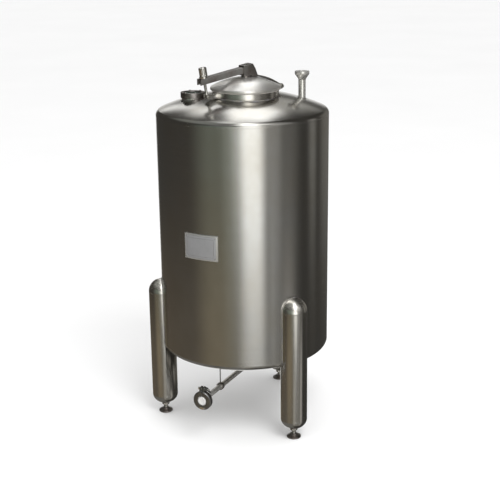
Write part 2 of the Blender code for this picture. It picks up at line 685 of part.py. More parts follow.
def build_clamp_half(name, side):
    """Half of the ring that grips the two lips, with an ear for the bolt at its top."""
    low = -FERRULE_FRONT - LIP_THICKNESS - GAP
    high = -LIP_FRONT + GAP
    inner = FERRULE_RADIUS + GAP
    bevel = CLAMP_RADIUS - CLAMP_BEVEL
    outside = [(CLAMP_GRIP, low - CLAMP_WALL), (bevel, low - CLAMP_WALL), (CLAMP_RADIUS, low),
               (CLAMP_RADIUS, high), (bevel, high + CLAMP_WALL), (CLAMP_GRIP, high + CLAMP_WALL)]
    groove = [(CLAMP_GRIP, high), (inner, high), (inner, low), (CLAMP_GRIP, low)]
    half = turned(name, outside + groove, steel_bright, ROUND_LEG, facing_front())
    middle = Matrix.Translation((0, GASKET_MIDDLE, DRAIN_HEIGHT))
    near = side * CLAMP_EAR_GAP
    far = side * (CLAMP_EAR_GAP + CLAMP_EAR_THICKNESS)
    top = CLAMP_EAR_TOP
    ear = [(near, inner + CLAMP_BEVEL), (far, inner + CLAMP_BEVEL), (far, top - CLAMP_BEVEL),
           (far - side * CLAMP_BEVEL, top), (near, top)]
    boolean(half, extruded(name + "_ear", ear, CLAMP_EAR_DEPTH, steel_bright, middle), "UNION")
    reach = CLAMP_EAR_TOP + CLAMP_WALL
    other = rectangle(side * CLAMP_SPLIT, -side * reach, -reach, reach)
    boolean(half, extruded(name + "_split", other, 2 * CLAMP_RADIUS, steel_bright, middle))
    hole = CLAMP_BOLT_RADIUS + GAP
    boolean(half, rod(name + "_hole", on_clamp_bolt(-reach), on_clamp_bolt(reach), hole, steel_bright))


def build_wing_nut(seat):
    """A hub with two wings, on the clamp bolt's end."""
    bore = CLAMP_BOLT_RADIUS + GAP
    hub = [(bore, 0), (WING_HUB_RADIUS, 0), (WING_HUB_TOP_RADIUS, WING_HUB_LENGTH), (bore, WING_HUB_LENGTH)]
    turn = Matrix.Rotation(math.radians(90), 4, "Y")
    nut = turned("wing_nut", hub, steel_bright, ROUND_PIN, Matrix.Translation(seat) @ turn)
    tilt = Matrix.Translation(seat) @ Matrix.Rotation(WING_TILT, 4, "X")
    for side, name in ((-1, "wing_low"), (1, "wing_high")):
        outline = [(along, side * out) for along, out in WING]
        boolean(nut, extruded(name, outline, WING_THICKNESS, steel_bright, tilt), "UNION")


def curved_plate(name, inner, outer, half_angle, low, high, look):
    """A plate that follows the shell."""
    mesh = bmesh.new()
    rows = []
    for i in range(PLATE_STEPS + 1):
        angle = PLATE_ANGLE + half_angle * (2 * i / PLATE_STEPS - 1)
        corners = rectangle(inner, outer, low, high)
        rows.append([mesh.verts.new(polar(radius, angle, height)) for radius, height in corners])
    for first, second in zip(rows, rows[1:]):
        for k in range(4):
            m = (k + 1) % 4
            mesh.faces.new((first[k], first[m], second[m], second[k]))
    mesh.faces.new(rows[0])
    mesh.faces.new(rows[-1][::-1])
    return finish(name, mesh, look)


def build_nameplate():
    half_angle = math.degrees(PLATE_WIDTH / 2 / SHELL_RADIUS)
    shrink = math.degrees(PLATE_BORDER / SHELL_RADIUS)
    back = SHELL_RADIUS + GAP
    face = SHELL_RADIUS + BRACKET_DEPTH
    low = PLATE_BOTTOM + PLATE_BORDER
    high = PLATE_TOP - PLATE_BORDER
    curved_plate("nameplate_bracket", back, face, half_angle, PLATE_BOTTOM, PLATE_TOP, steel_bright)
    seat = face + GAP
    curved_plate("nameplate", seat, seat + PLATE_THICKNESS, half_angle - shrink, low, high, plate_look)


clear_scene()
steel_shell = material("brushed_steel_shell", (0.43, 0.41, 0.38), 0.30)
steel_head = material("brushed_steel_head", (0.46, 0.44, 0.41), 0.30)
steel_leg = material("brushed_steel_leg", (0.45, 0.43, 0.40), 0.34)
steel_bright = material("bright_steel", (0.60, 0.59, 0.57), 0.25)
steel_dark = material("dull_steel", (0.32, 0.30, 0.28), 0.42)
steel_polished = material("polished_steel", (0.72, 0.71, 0.69), 0.12)
plate_look = material("etched_plate", (0.62, 0.62, 0.62), 0.45)
rubber = material("white_rubber", (0.75, 0.74, 0.72), 0.60, 0.0)
glass = material("dark_glass", (0.05, 0.06, 0.06), 0.08, 0.0)

build_vessel()
outside_shape = vessel_guide()
build_legs(outside_shape)
build_manway(outside_shape)
build_hinge_bracket(outside_shape)
build_swing_bolt(outside_shape)
build_moving()
build_inlet(outside_shape)
build_sight_port(outside_shape)
build_drain_line(outside_shape)
build_drain_end()
build_nameplate()
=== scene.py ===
"""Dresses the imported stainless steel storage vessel, in metres, +Z up.

The vessel's axis is the Z axis and the floor is z = 0. The front, -Y, is the side of the drain and the
nameplate. Sizes repeat those of the CAD part, so that each piece sits where its node does.
"""
import math
import random

import bmesh
import bpy
from mathutils import Matrix, Vector


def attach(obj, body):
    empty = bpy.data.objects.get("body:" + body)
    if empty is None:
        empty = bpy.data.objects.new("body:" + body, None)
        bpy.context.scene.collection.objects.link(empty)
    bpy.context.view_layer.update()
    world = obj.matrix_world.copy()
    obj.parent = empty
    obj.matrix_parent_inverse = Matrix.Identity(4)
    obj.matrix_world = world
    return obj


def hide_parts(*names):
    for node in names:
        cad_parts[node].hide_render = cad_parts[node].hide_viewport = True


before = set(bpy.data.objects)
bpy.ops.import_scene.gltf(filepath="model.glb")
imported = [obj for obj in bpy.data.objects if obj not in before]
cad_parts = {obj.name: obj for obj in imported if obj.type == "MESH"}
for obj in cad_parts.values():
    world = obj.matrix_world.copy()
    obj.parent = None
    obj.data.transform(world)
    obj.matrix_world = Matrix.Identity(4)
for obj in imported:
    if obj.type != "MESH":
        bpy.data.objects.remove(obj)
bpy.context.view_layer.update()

# Vessel
SHELL_RADIUS = 0.300
WALL = 0.003
BOTTOM_TANGENT = 0.290
TOP_TANGENT = 1.115
KNUCKLE_RADIUS = 0.020
TOP_CROWN_RADIUS = 0.730
BOTTOM_CROWN_RADIUS = 0.660
SEAM_WIDTH = 0.006
SEAM_RISE = 0.00006
SEAM_ANGLE = 118
LEG_SEAM_WIDTH = 0.004

# Legs and feet
LEG_RADIUS = 0.0465
LEG_CIRCLE = 0.3016
LEG_BOTTOM = 0.035
LEG_TOP = 0.520
LEG_BOTTOM_CAP = 0.038
LEG_ANGLES = {"left": 210, "right": 330, "rear": 90}
LEG_STATIONS = (0.42, 0.38, 0.34, 0.31)
LEG_FLAT = 0.003
LEG_MARGIN = 0.001
SCREW_RADIUS = 0.0072
SCREW_PITCH = 0.0020
NUT_FLAT = 0.012
NUT_HEIGHT = 0.008
NUT_CHAMFER = 0.0012
NUT_FACE = 0.98
PAD_RADIUS = 0.025
PAD_BOSS = 0.013
PAD_EDGE = 0.006
PAD_HEIGHT = 0.015
PAD_BEVEL = 0.002
PAD_FOOT = 0.003
PAD_SLOPE = 0.0035

# Manway and lid
MANWAY_CENTRE = Vector((0.0262, -0.0258, 0.0))
NECK_RADIUS = 0.114
NECK_TOP = 1.200
GASKET_THICKNESS = 0.0024
GASKET_LAP = 0.002
LID_RADIUS = 0.121
LID_RIM = 0.008
LID_RISE = 0.034
LID_WALL = 0.003

# Lid arm, hinge, swing bolt and hand nut
ARM_ANGLE = 59.4
ARM_SLOPE = math.radians(9)
ARM_THICKNESS = 0.020
BLOCK_BOTTOM = 1.2495
BOSS_RADIUS = 0.014
HINGE_OFFSET = 0.1355
HINGE_HEIGHT = 1.203
HINGE_PIN_RADIUS = 0.004
HINGE_PIN_LENGTH = 0.054
EAR_SPACING = 0.0172
EAR_THICKNESS = 0.007
BOLT_OFFSET = -0.155
BOLT_HEIGHT = 1.1905
BOLT_TO_ARM = 0.0543
BOLT_RADIUS = 0.005
BOLT_PITCH = 0.0015
BOLT_LENGTH = 0.0673
BOLT_EYE = 0.007
BOLT_EYE_WIDTH = 0.010
BOLT_PIN_RADIUS = 0.003
BOLT_PIN_LENGTH = 0.030
PIN_HEAD = 1.55
SPLIT_PIN = (1.9, 0.32, 0.16)
SPLIT_PIN_OUT = 0.0002
BOLT_NECK = 0.009
BOLT_IN_EYE = 0.0015
BOLT_NECK_INSET = 0.0002
BOLT_RELIEF = 0.001
LUG_SPACING = 0.0087
LUG_THICKNESS = 0.006
HAND_NUT_RADIUS = 0.0135
HAND_NUT_HEIGHT = 0.036
HAND_NUT_BORE = 0.0078
HAND_NUT_DEPTH = 0.010
HAND_NUT_POINT = 0.012
HAND_NUT_FLANGE = 0.0155
HAND_NUT_FLANGE_HEIGHT = 0.005
FLANGE_STEP = 0.001
HAND_NUT_DOME = 0.0125
HAND_NUT_SHOULDER = 0.0012
HAND_NUT_FLUTES = 10
FLUTE_DEPTH = 0.0011
FLUTE_END = 0.002
FLUTE_POWER = 0.6

# Inlet and sight port
INLET_CIRCLE = 0.209
INLET_ANGLE = 32
INLET_RADIUS = 0.0127
INLET_WALL = 0.0016
FERRULE_RADIUS = 0.02525
INLET_CONE_BOTTOM = 1.226
INLET_CONE_TOP = 1.244
INLET_TOP = 1.254
FERRULE_SOFT = 0.0006
FERRULE_RIM = 0.0008
FERRULE_GROOVE = ((0.0232, 0), (0.0228, 0.0012), (0.0208, 0.0012), (0.0204, 0))
PORT_CIRCLE = 0.170
PORT_ANGLE = 212
PORT_RADIUS = 0.039
PORT_WALL = 0.004
PORT_TOP = 1.192
PORT_RING_RADIUS = 0.0425
PORT_RING_HEIGHT = 0.018
PORT_RING_LIP = 0.005
PORT_VIEW_RADIUS = 0.029
PORT_VIEW_BEVEL = 0.002
PORT_SCREWS = 6
PORT_SCREW_TURN = 15
PORT_SCREW = ((0, -0.001), (0.0034, -0.001), (0.0034, 0.0022), (0.0017, 0.0022), (0.0017, 0.0008),
              (0, 0.0008))
GLASS_RADIUS = 0.0385
GLASS_THICKNESS = 0.006

# Drain line and its clamp
DRAIN_HEIGHT = 0.168
DRAIN_RADIUS = 0.0095
DRAIN_WALL = 0.0015
ELBOW_RADIUS = 0.030
ELBOW_TAIL = 0.004
HANGER_OFFSET = 0.205
HANGER_RADIUS = 0.002
COLLAR_RADIUS = 0.0135
COLLAR_WIDTH = 0.014
FRONT_FACE = -0.346
CAP_BOSS_HEIGHT = 0.004
CAP_DISH = ((0.002, 0), (0.005, 0), (0.008, 0.0012))
CAP_DISH_DEPTH = 0.0016
HUB_RADIUS = 0.0157
HUB_TAPER = 0.72
HUB_LENGTH = 0.006
HUB_STEP = 0.001
LIP_THICKNESS = 0.005
CLAMP_GASKET = 0.0016
FERRULE_LENGTH = 0.024
CLAMP_RADIUS = 0.034
CLAMP_WALL = 0.003
CLAMP_EAR_THICKNESS = 0.008
CLAMP_EAR_GAP = 0.002
CLAMP_BOLT_HEIGHT = 0.0425
CLAMP_BOLT_RADIUS = 0.003
CLAMP_BOLT_HEAD_END = 0.006
CLAMP_BOLT_NUT_END = 0.016
CLAMP_BOLT_PITCH = 0.001
CLAMP_BOLT_HEAD = 0.0052
LINK_DROP = 0.0075
LINK_SPACING = 0.0065
LINK_RADIUS = 0.0035
LINK_THICKNESS = 0.0015
LINK_PIN_RADIUS = 0.0018
LINK_PIN_BACK = 0.0022
LINK_PIN_FRONT = 0.0024

# Nameplate
PLATE_ANGLE = 267.4
PLATE_WIDTH = 0.125
PLATE_BOTTOM = 0.664
PLATE_TOP = 0.7515
BRACKET_DEPTH = 0.0045
PLATE_THICKNESS = 0.0012
RIVET_INSET = 0.009
RIVET_RADIUS = 0.0024
RIVET_SINK = 0.0006
LINE_INSET = 0.0125
LINE_RADIUS = 0.00035

# Weld beads, by their radius
NECK_BEAD = 0.0028
LEG_BEAD = 0.0024
PORT_BEAD = 0.0022
INLET_BEAD = 0.0018
ELBOW_BEAD = 0.0016
BOSS_BEAD = 0.0014
SMALL_BEAD = 0.0009
BEAD_OUT = 0.0004
BEAD_SHARE = 0.3
RIPPLE = 0.0026
RIPPLE_SHAPE = (1.0, 1.05, 0.90)
RIPPLE_WIDTHS = (0.92, 1.06)

# Rounded edges
LID_EDGE = 0.0016
ARM_EDGE = 0.0011
EDGE = 0.0008
BRACKET_EDGE = 0.0007
CLAMP_EDGE = 0.0006
SMALL_EDGE = 0.0005
FINE_EDGE = 0.0004
PLATE_EDGE = 0.0003

# Gaps and mesh detail
GAP = 0.0003
ROUND_VESSEL = 192
ROUND_LARGE = 128
ROUND_MEDIUM = 72
ROUND_SMALL = 48
ROUND_SCREW = 36
ROUND_TINY = 30
ROUND_PIN = 24
ROUND_NUT = 96
ROUND_HAND_NUT = 120
THREAD_STEPS = 6
NUT_STEPS = 12
KNUCKLE_STEPS = 12
CROWN_STEPS = 16
LID_STEPS = 28
LEG_STEPS = 14
ELBOW_STEPS = 16
BEAD_SIDES = 10
SHARP_ANGLE = 35
BEVEL_ANGLE = 32
GENTLE_CORNER = 155
CORNER_SHARE = 0.45
CORNER_STEPS = 3
SEED = 7

# How much grain, rubbed edges and polish change the shade and the roughness of steel, and how much lighter
# its colour is painted over a height, as a painted highlight
GRAIN_SHADE = 0.05
EDGE_SHADE = 0.35
PAINTED_HIGHLIGHT_SHADE = 0.60
GRAIN_ROUGHNESS = 0.05
BAND_ROUGHNESS = 0.02
EDGE_ROUGHNESS = -0.12
POLISH_ROUGHNESS = 0.06
POLISH_AND_HIGHLIGHT_FADE = 0.012
GRAIN_BUMP = 0.2
BAND_SCALE = 0.3
PATCH_STRETCH = 0.7
PATCH_RANGE = (0.35, 0.7)
EDGE_RANGE = (0.52, 0.60)
MID_NOISE = (0.3, 0.7)

# Camera, as fitted to the photograph
CAMERA_PLACE = Vector((1.654, -3.332, 1.740))
CAMERA_HEADING = 26.08
CAMERA_PITCH = 16.8
CAMERA_ROLL = -0.68
LENS = 77.616

# Floor and lamp
FLOOR_RADIUS = 40
FLOOR_SEGMENTS = 96
LAMP_PLACE = Vector((2.2, -1.6, 3.6))
LAMP_AIM = Vector((0, 0, 0.6))
LAMP_SIZE = 2.4
LAMP_POWER = 90

# Values worked out from the dimensions above
TOP_HEAD = (TOP_TANGENT, 1, TOP_CROWN_RADIUS)
BOTTOM_HEAD = (BOTTOM_TANGENT, -1, BOTTOM_CROWN_RADIUS)
HEAD_REACH = SHELL_RADIUS - KNUCKLE_RADIUS
NUT_CORNER = NUT_FLAT * 2 / math.sqrt(3)
ARM_DIRECTION = Matrix.Rotation(math.radians(ARM_ANGLE), 4, "Z")
NECK_BORE = NECK_RADIUS - WALL
INLET_BORE = INLET_RADIUS - INLET_WALL
PORT_BORE = PORT_RADIUS - PORT_WALL
DRAIN_BORE = DRAIN_RADIUS - DRAIN_WALL
LID_BOTTOM = NECK_TOP + GAP * 2 + GASKET_THICKNESS
LID_APEX = LID_BOTTOM + LID_RIM + LID_RISE
LID_DOME_RADIUS = (LID_RADIUS**2 + LID_RISE**2) / (2 * LID_RISE)
LID_DOME_CENTRE = LID_APEX - LID_DOME_RADIUS
# A height no piece reaches: no polish and no painted highlight
NO_POLISH_OR_PAINTED_HIGHLIGHT = LID_APEX * 2
LIP_FRONT = FRONT_FACE + CAP_BOSS_HEIGHT
GASKET_FRONT = LIP_FRONT + LIP_THICKNESS + GAP
GASKET_BACK = GASKET_FRONT + CLAMP_GASKET
GASKET_MIDDLE = (GASKET_FRONT + GASKET_BACK) / 2
FERRULE_FRONT = GASKET_BACK + GAP
FERRULE_BACK = FERRULE_FRONT + FERRULE_LENGTH

looks = {}
moved = Matrix.Translation


# Materials

def feed(tree, made, inputs):
    """Sets the inputs of a shader node, each to a value or to the socket that feeds it."""
    for key, value in inputs.items():
        if isinstance(value, bpy.types.NodeSocket):
            tree.links.new(value, made.inputs[key])
        else:
            made.inputs[key].default_value = value


def node(tree, kind, inputs=None, **properties):
    made = tree.nodes.new(kind)
    for key, value in properties.items():
        setattr(made, key, value)
    feed(tree, made, inputs or {})
    return made


def noise_at(tree, scale, detail=3.0, roughness=0.55):
    """Noise in the piece's own metres, stretched by a scale along each axis."""
    place = node(tree, "ShaderNodeTexCoord").outputs["Object"]
    mapped = node(tree, "ShaderNodeMapping", {"Vector": place, "Scale": scale}).outputs["Vector"]
    inputs = {"Vector": mapped, "Scale": 1.0, "Detail": detail, "Roughness": roughness}
    return node(tree, "ShaderNodeTexNoise", inputs).outputs["Fac"]


def maths(tree, operation, *values):
    return node(tree, "ShaderNodeMath", dict(enumerate(values)), operation=operation).outputs[0]


def spread(tree, value, low, high, to_low, to_high, steps="LINEAR"):
    """Maps a range of a texture onto a range of numbers."""
    inputs = {"Value": value, "From Min": low, "From Max": high, "To Min": to_low, "To Max": to_high}
    return node(tree, "ShaderNodeMapRange", inputs, interpolation_type=steps).outputs["Result"]


def scaled(tree, colour, amount):
    inputs = {0: colour, "Scale": amount}
    return node(tree, "ShaderNodeVectorMath", inputs, operation="SCALE").outputs[0]


def blend(tree, factor, first, second):
    mixed = node(tree, "ShaderNodeMix", {"Factor": factor}, data_type="RGBA")
    for key, value in (("A", first), ("B", second)):
        socket = [s for s in mixed.inputs if s.name == key and s.type == "RGBA"][0]
        if isinstance(value, bpy.types.NodeSocket):
            tree.links.new(value, socket)
        else:
            socket.default_value = (*value, 1.0)
    return [s for s in mixed.outputs if s.type == "RGBA"][0]


def shader_of(name, slot=None):
    made = bpy.data.materials.new(name)
    made.use_nodes = True
    looks[name] = (made, slot or name)
    return made.node_tree, made.node_tree.nodes["Principled BSDF"]


def total_of(tree, start, *parts):
    """Adds parts, each a (socket, weight), to a starting value."""
    for value, weight in parts:
        start = maths(tree, "MULTIPLY_ADD", value, weight, start)
    return start


def bumped(tree, height, strength, distance):
    inputs = {"Height": height, "Strength": strength, "Distance": distance}
    return node(tree, "ShaderNodeBump", inputs).outputs["Normal"]


def steel(name, colour, roughness, grain, smudge, depth, slot=None, brushed=0.0, stain=(0.93, 0.90, 0.85),
          wear=0.0, patch=7, metallic=1.0, polish_and_painted_highlight_over=NO_POLISH_OR_PAINTED_HIGHLIGHT):
    """Stainless steel with grain, smudges, uneven colour and rubbed edges, polished over a height, where its
    colour is also painted lighter as a painted highlight.
    """
    tree, shader = shader_of(name, slot)
    lines = spread(tree, noise_at(tree, grain, 2.0), *MID_NOISE, -0.5, 0.5)
    bands = spread(tree, noise_at(tree, tuple(g * BAND_SCALE for g in grain)), *MID_NOISE, -0.5, 0.5)
    patches = noise_at(tree, (patch, patch, patch * PATCH_STRETCH), 5.0, 0.6)
    clouds = spread(tree, patches, *PATCH_RANGE, 0.0, 1.0)
    stained = tuple(c * s for c, s in zip(colour, stain))
    base = blend(tree, clouds, colour, stained)
    edges = node(tree, "ShaderNodeNewGeometry").outputs["Pointiness"]
    rubbed = spread(tree, edges, *EDGE_RANGE, 0.0, wear)
    place = node(tree, "ShaderNodeTexCoord").outputs["Object"]
    height = node(tree, "ShaderNodeSeparateXYZ", {"Vector": place}).outputs["Z"]
    # Over the given height the colour is painted lighter, a painted highlight, and the roughness rises as
    # polish
    polish_and_painted_highlight = spread(tree, height, polish_and_painted_highlight_over - POLISH_AND_HIGHLIGHT_FADE, polish_and_painted_highlight_over + POLISH_AND_HIGHLIGHT_FADE, 0.0, 1.0)
    shade = total_of(tree, 1.0, (lines, GRAIN_SHADE), (rubbed, EDGE_SHADE), (polish_and_painted_highlight, PAINTED_HIGHLIGHT_SHADE))
    tone = scaled(tree, base, shade)
    rough = total_of(tree, roughness, (lines, GRAIN_ROUGHNESS), (bands, BAND_ROUGHNESS), (clouds, smudge),
                     (rubbed, EDGE_ROUGHNESS), (polish_and_painted_highlight, POLISH_ROUGHNESS))
    bump = bumped(tree, lines, GRAIN_BUMP, depth)
    feed(tree, shader, {"Base Color": tone, "Metallic": metallic, "Roughness": rough, "Normal": bump})
    if brushed:
        tangent = node(tree, "ShaderNodeTangent", direction_type="RADIAL", axis="Z").outputs["Tangent"]
        feed(tree, shader, {"Tangent": tangent, "Anisotropic": brushed, "Anisotropic Rotation": 0.25})


def weld_look():
    """A brushed weld bead with a faint straw and blue heat tint."""
    tree, shader = shader_of("weld_bead", "bright_steel")
    patches = spread(tree, noise_at(tree, (60, 60, 60)), 0.4, 0.62, 0.0, 1.0)
    tint = blend(tree, patches, (0.52, 0.49, 0.44), (0.42, 0.41, 0.43))
    shade = spread(tree, noise_at(tree, (500, 500, 500)), *MID_NOISE, 0.26, 0.44)
    feed(tree, shader, {"Base Color": tint, "Metallic": 1.0, "Roughness": shade})


def rubber_look():
    """White food-grade rubber, slightly mottled."""
    tree, shader = shader_of("white_rubber")
    mottle = spread(tree, noise_at(tree, (90, 90, 90), 4.0), 0.35, 0.65, 0.0, 1.0)
    colour = blend(tree, mottle, (0.74, 0.72, 0.67), (0.64, 0.61, 0.55))
    bump = bumped(tree, noise_at(tree, (1500, 1500, 1500)), 0.3, 0.0001)
    feed(tree, shader, {"Base Color": colour, "Roughness": 0.55, "Normal": bump})


def glass_look():
    """Thick toughened glass with a green cast, faintly dusty on top."""
    tree, shader = shader_of("sight_glass")
    dust = spread(tree, noise_at(tree, (120, 120, 120), 5.0), 0.45, 0.75, 0.03, 0.20)
    cast = spread(tree, noise_at(tree, (25, 25, 25)), *MID_NOISE, 0.0, 1.0)
    colour = blend(tree, cast, (0.62, 0.74, 0.68), (0.55, 0.69, 0.63))
    feed(tree, shader, {"Base Color": colour, "Roughness": dust, "Transmission Weight": 0.9, "IOR": 1.5})


def make_looks():
    round_grain = (5, 5, 1500)
    steel("brushed_shell", (0.555, 0.552, 0.540), 0.20, round_grain, 0.05, 0.00003, brushed=0.6)
    steel("brushed_head", (0.57, 0.566, 0.552), 0.16, (900, 900, 900), 0.04, 0.00002, brushed=0.15)
    # The legs' domed tops are painted lighter: a painted highlight
    steel("brushed_leg", (0.56, 0.553, 0.535), 0.18, (500, 500, 60), 0.05, 0.000006, brushed=0.15,
          polish_and_painted_highlight_over=LEG_TOP - LEG_RADIUS + POLISH_AND_HIGHLIGHT_FADE)
    steel("bright_steel", (0.62, 0.614, 0.60), 0.19, (120, 120, 1400), 0.05, 0.00002, wear=1.0)
    steel("dull_steel", (0.40, 0.39, 0.38), 0.34, (500, 500, 500), 0.12, 0.00015, stain=(0.52, 0.43, 0.41),
          wear=1.0, patch=26)
    steel("polished_steel", (0.88, 0.876, 0.868), 0.28, (250, 250, 250), 0.05, 0.00001, metallic=0.92)
    steel("etched_plate", (0.42, 0.42, 0.43), 0.50, (1200, 1200, 30), 0.05, 0.00003, stain=(0.90, 0.90, 0.90),
          patch=30, metallic=0.6)
    steel("plate_frame", (0.56, 0.56, 0.55), 0.45, (1200, 1200, 30), 0.05, 0.00003, slot="bright_steel",
          wear=1.0, metallic=0.75)
    steel("satin_cap", (0.86, 0.86, 0.86), 0.34, (900, 900, 900), 0.05, 0.00003, slot="polished_steel",
          metallic=0.35)
    steel("light_tube", (0.72, 0.715, 0.70), 0.24, (120, 120, 1400), 0.05, 0.00002, slot="bright_steel",
          metallic=0.82)
    steel("clamp_steel", (0.31, 0.31, 0.32), 0.28, (600, 600, 600), 0.08, 0.00010, slot="bright_steel",
          wear=1.0, patch=40)
    weld_look()
    rubber_look()
    glass_look()
    steel("weld_seam", (0.55, 0.546, 0.534), 0.22, round_grain, 0.05, 0.00004, slot="brushed_shell")


# Mesh making

def placed(name, data):
    obj = bpy.data.objects.new(name, data)
    bpy.context.scene.collection.objects.link(obj)
    return obj


def mesh_data(name, mesh):
    data = bpy.data.meshes.new(name)
    mesh.to_mesh(data)
    mesh.free()
    return data


def link(name, mesh, look, body="root", matrix=Matrix()):
    """Links a closed bmesh as a piece that rides on a body."""
    bmesh.ops.recalc_face_normals(mesh, faces=mesh.faces)
    data = mesh_data(name, mesh)
    data.shade_smooth()
    data.set_sharp_from_angle(angle=math.radians(SHARP_ANGLE))
    made, slot = looks[look]
    data.materials.append(made)
    obj = placed(name, data)
    obj.matrix_world = matrix
    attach(obj, body)
    return obj


def rounded(outline, size):
    """A closed outline with its corners rounded, apart from the gentle ones and those on the axis."""
    points = [Vector(point) for point in outline]
    made = []
    for i, here in enumerate(points):
        back = points[i - 1] - here
        on = points[(i + 1) % len(points)] - here
        if here.x < GAP or back.angle(on) > math.radians(GENTLE_CORNER):
            made.append(here)
            continue
        first = here + back.normalized() * min(size, back.length * CORNER_SHARE)
        last = here + on.normalized() * min(size, on.length * CORNER_SHARE)
        for k in range(CORNER_STEPS + 1):
            t = k / CORNER_STEPS
            made.append(first * (1 - t) ** 2 + here * 2 * t * (1 - t) + last * t**2)
    return [tuple(point) for point in made]


def turned(name, outline, look, segments=ROUND_SMALL, matrix=Matrix(), body="root", corner=EDGE, shape=None):
    """Turns a closed outline of (radius, height) about Z. shape changes a radius by height and angle."""
    mesh = bmesh.new()
    rings = []
    for radius, height in (rounded(outline, corner) if corner else outline):
        if radius < GAP:
            rings.append([mesh.verts.new((0, 0, height))] * segments)
            continue
        ring_now = []
        for i in range(segments):
            a = 2 * math.pi * i / segments
            r = shape(radius, height, a) if shape else radius
            ring_now.append(mesh.verts.new((r * math.cos(a), r * math.sin(a), height)))
        rings.append(ring_now)
    for lower, upper in zip(rings, rings[1:] + rings[:1]):
        for i in range(segments):
            j = (i + 1) % segments
            corners = list(dict.fromkeys((lower[i], lower[j], upper[j], upper[i])))
            if len(corners) > 2:
                mesh.faces.new(corners)
    return link(name, mesh, look, body, matrix)


def ring_about(mesh, point, radius, across, up, count):
    angles = (2 * math.pi * k / count for k in range(count))
    return [mesh.verts.new(point + radius * (math.cos(a) * across + math.sin(a) * up)) for a in angles]


def join_rings(mesh, first, second, turn=0):
    """Joins two rings by a band of faces, with the second one turned by some points."""
    count = len(first)
    for k in range(count):
        m = (k + 1) % count
        mesh.faces.new((first[k], first[m], second[(m + turn) % count], second[(k + turn) % count]))


def close_ends(mesh, rings):
    mesh.faces.new(rings[0])
    mesh.faces.new(rings[-1][::-1])


def swept(name, path, radius_at, look, closed=False, body="root", sides=BEAD_SIDES):
    """A round bar or bead along a path of points."""
    mesh = bmesh.new()
    count = len(path)
    rings = []
    across = None
    for i, point in enumerate(path):
        before = path[i - 1] if closed or i else point
        after = path[(i + 1) % count] if closed or i < count - 1 else point
        along = (after - before).normalized()
        if across is None:
            across = along.orthogonal().normalized()
        across = (across - along * across.dot(along)).normalized()
        rings.append(ring_about(mesh, point, radius_at(i), across, along.cross(across), sides))
    pairs = list(zip(rings, rings[1:] + rings[:1]))
    for first, second in pairs if closed else pairs[:-1]:
        turn = 0
        if closed and second is rings[0]:
            gaps = [(first[0].co - second[k].co).length for k in range(sides)]
            turn = gaps.index(min(gaps))
        join_rings(mesh, first, second, turn)
    if not closed:
        close_ends(mesh, rings)
    return link(name, mesh, look, body)


def resampled(path, step):
    """The same closed path with points at even steps."""
    points = path + path[:1]
    lengths = [0.0]
    for a, b in zip(points, points[1:]):
        lengths.append(lengths[-1] + (b - a).length)
    count = max(8, round(lengths[-1] / step))
    made = []
    k = 0
    for i in range(count):
        target = lengths[-1] * i / count
        while k < len(points) - 2 and lengths[k + 1] < target:
            k += 1
        share = (target - lengths[k]) / max(lengths[k + 1] - lengths[k], 1e-9)
        made.append(points[k].lerp(points[k + 1], share))
    return made


def weld(name, path, radius, body="root"):
    """A weld bead with its ripples, along a closed path on the joint."""
    chance = random.Random(SEED + len(path))
    points = resampled(path, RIPPLE / 3)
    widths = [chance.uniform(*RIPPLE_WIDTHS) for _ in range(len(points) // 3 + 2)]

    def radius_at(i):
        return radius * RIPPLE_SHAPE[i % 3] * widths[i // 3]

    return swept(name, points, radius_at, "weld_bead", True, body)


def softened(node_name, width, look, body="root"):
    """A copy of a CAD node with its edges rounded, which then stands for the node."""
    mesh = bmesh.new()
    mesh.from_mesh(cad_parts[node_name].data)
    bmesh.ops.remove_doubles(mesh, verts=mesh.verts, dist=GAP / 20)
    bmesh.ops.dissolve_limit(mesh, angle_limit=math.radians(1), verts=mesh.verts, edges=mesh.edges)
    least = math.radians(BEVEL_ANGLE)
    edges = [e for e in mesh.edges if len(e.link_faces) == 2 and e.calc_face_angle(0.0) > least]
    bmesh.ops.bevel(mesh, geom=edges, offset=width, segments=2, profile=0.6, affect="EDGES",
                    clamp_overlap=True)
    obj = link(node_name + "_body", mesh, look, body)
    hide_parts(node_name)
    return obj


def cut(obj, cutters):
    """Cuts holes through a piece and applies them."""
    for cutter in cutters:
        modifier = obj.modifiers.new("Cut", "BOOLEAN")
        modifier.object = cutter
        modifier.solver = "EXACT"
    bpy.context.view_layer.update()
    graph = bpy.context.evaluated_depsgraph_get()
    data = bpy.data.meshes.new_from_object(obj.evaluated_get(graph))
    obj.modifiers.clear()
    obj.data = data
    for cutter in cutters:
        bpy.data.objects.remove(cutter)


# Outlines and places, as in the CAD part

def rectangle(left, right, low, high):
    return [(right, low), (right, high), (left, high), (left, low)]


def disc(radius, low, high):
    return [(0, low), (radius, low), (radius, high), (0, high)]


def upright(radius, low, high, steps):
    return [(radius, low + (high - low) * i / steps) for i in range(steps + 1)]


def arc(centre, radius, start, end, steps):
    points = []
    for i in range(steps + 1):
        a = math.radians(start + (end - start) * i / steps)
        points.append((centre[0] + radius * math.cos(a), centre[1] + radius * math.sin(a)))
    return points


def polar(radius, degrees, height=0.0):
    a = math.radians(degrees)
    return Vector((radius * math.cos(a), radius * math.sin(a), height))


def circle(radius, height=0.0, step=10, centre=Vector()):
    return [centre + polar(radius, a, height) for a in range(0, 360, step)]


def turn_to(direction):
    return Vector((0, 0, 1)).rotation_difference(direction).to_matrix().to_4x4()


def crown_drop(crown):
    return math.sqrt((crown - KNUCKLE_RADIUS) ** 2 - HEAD_REACH**2)


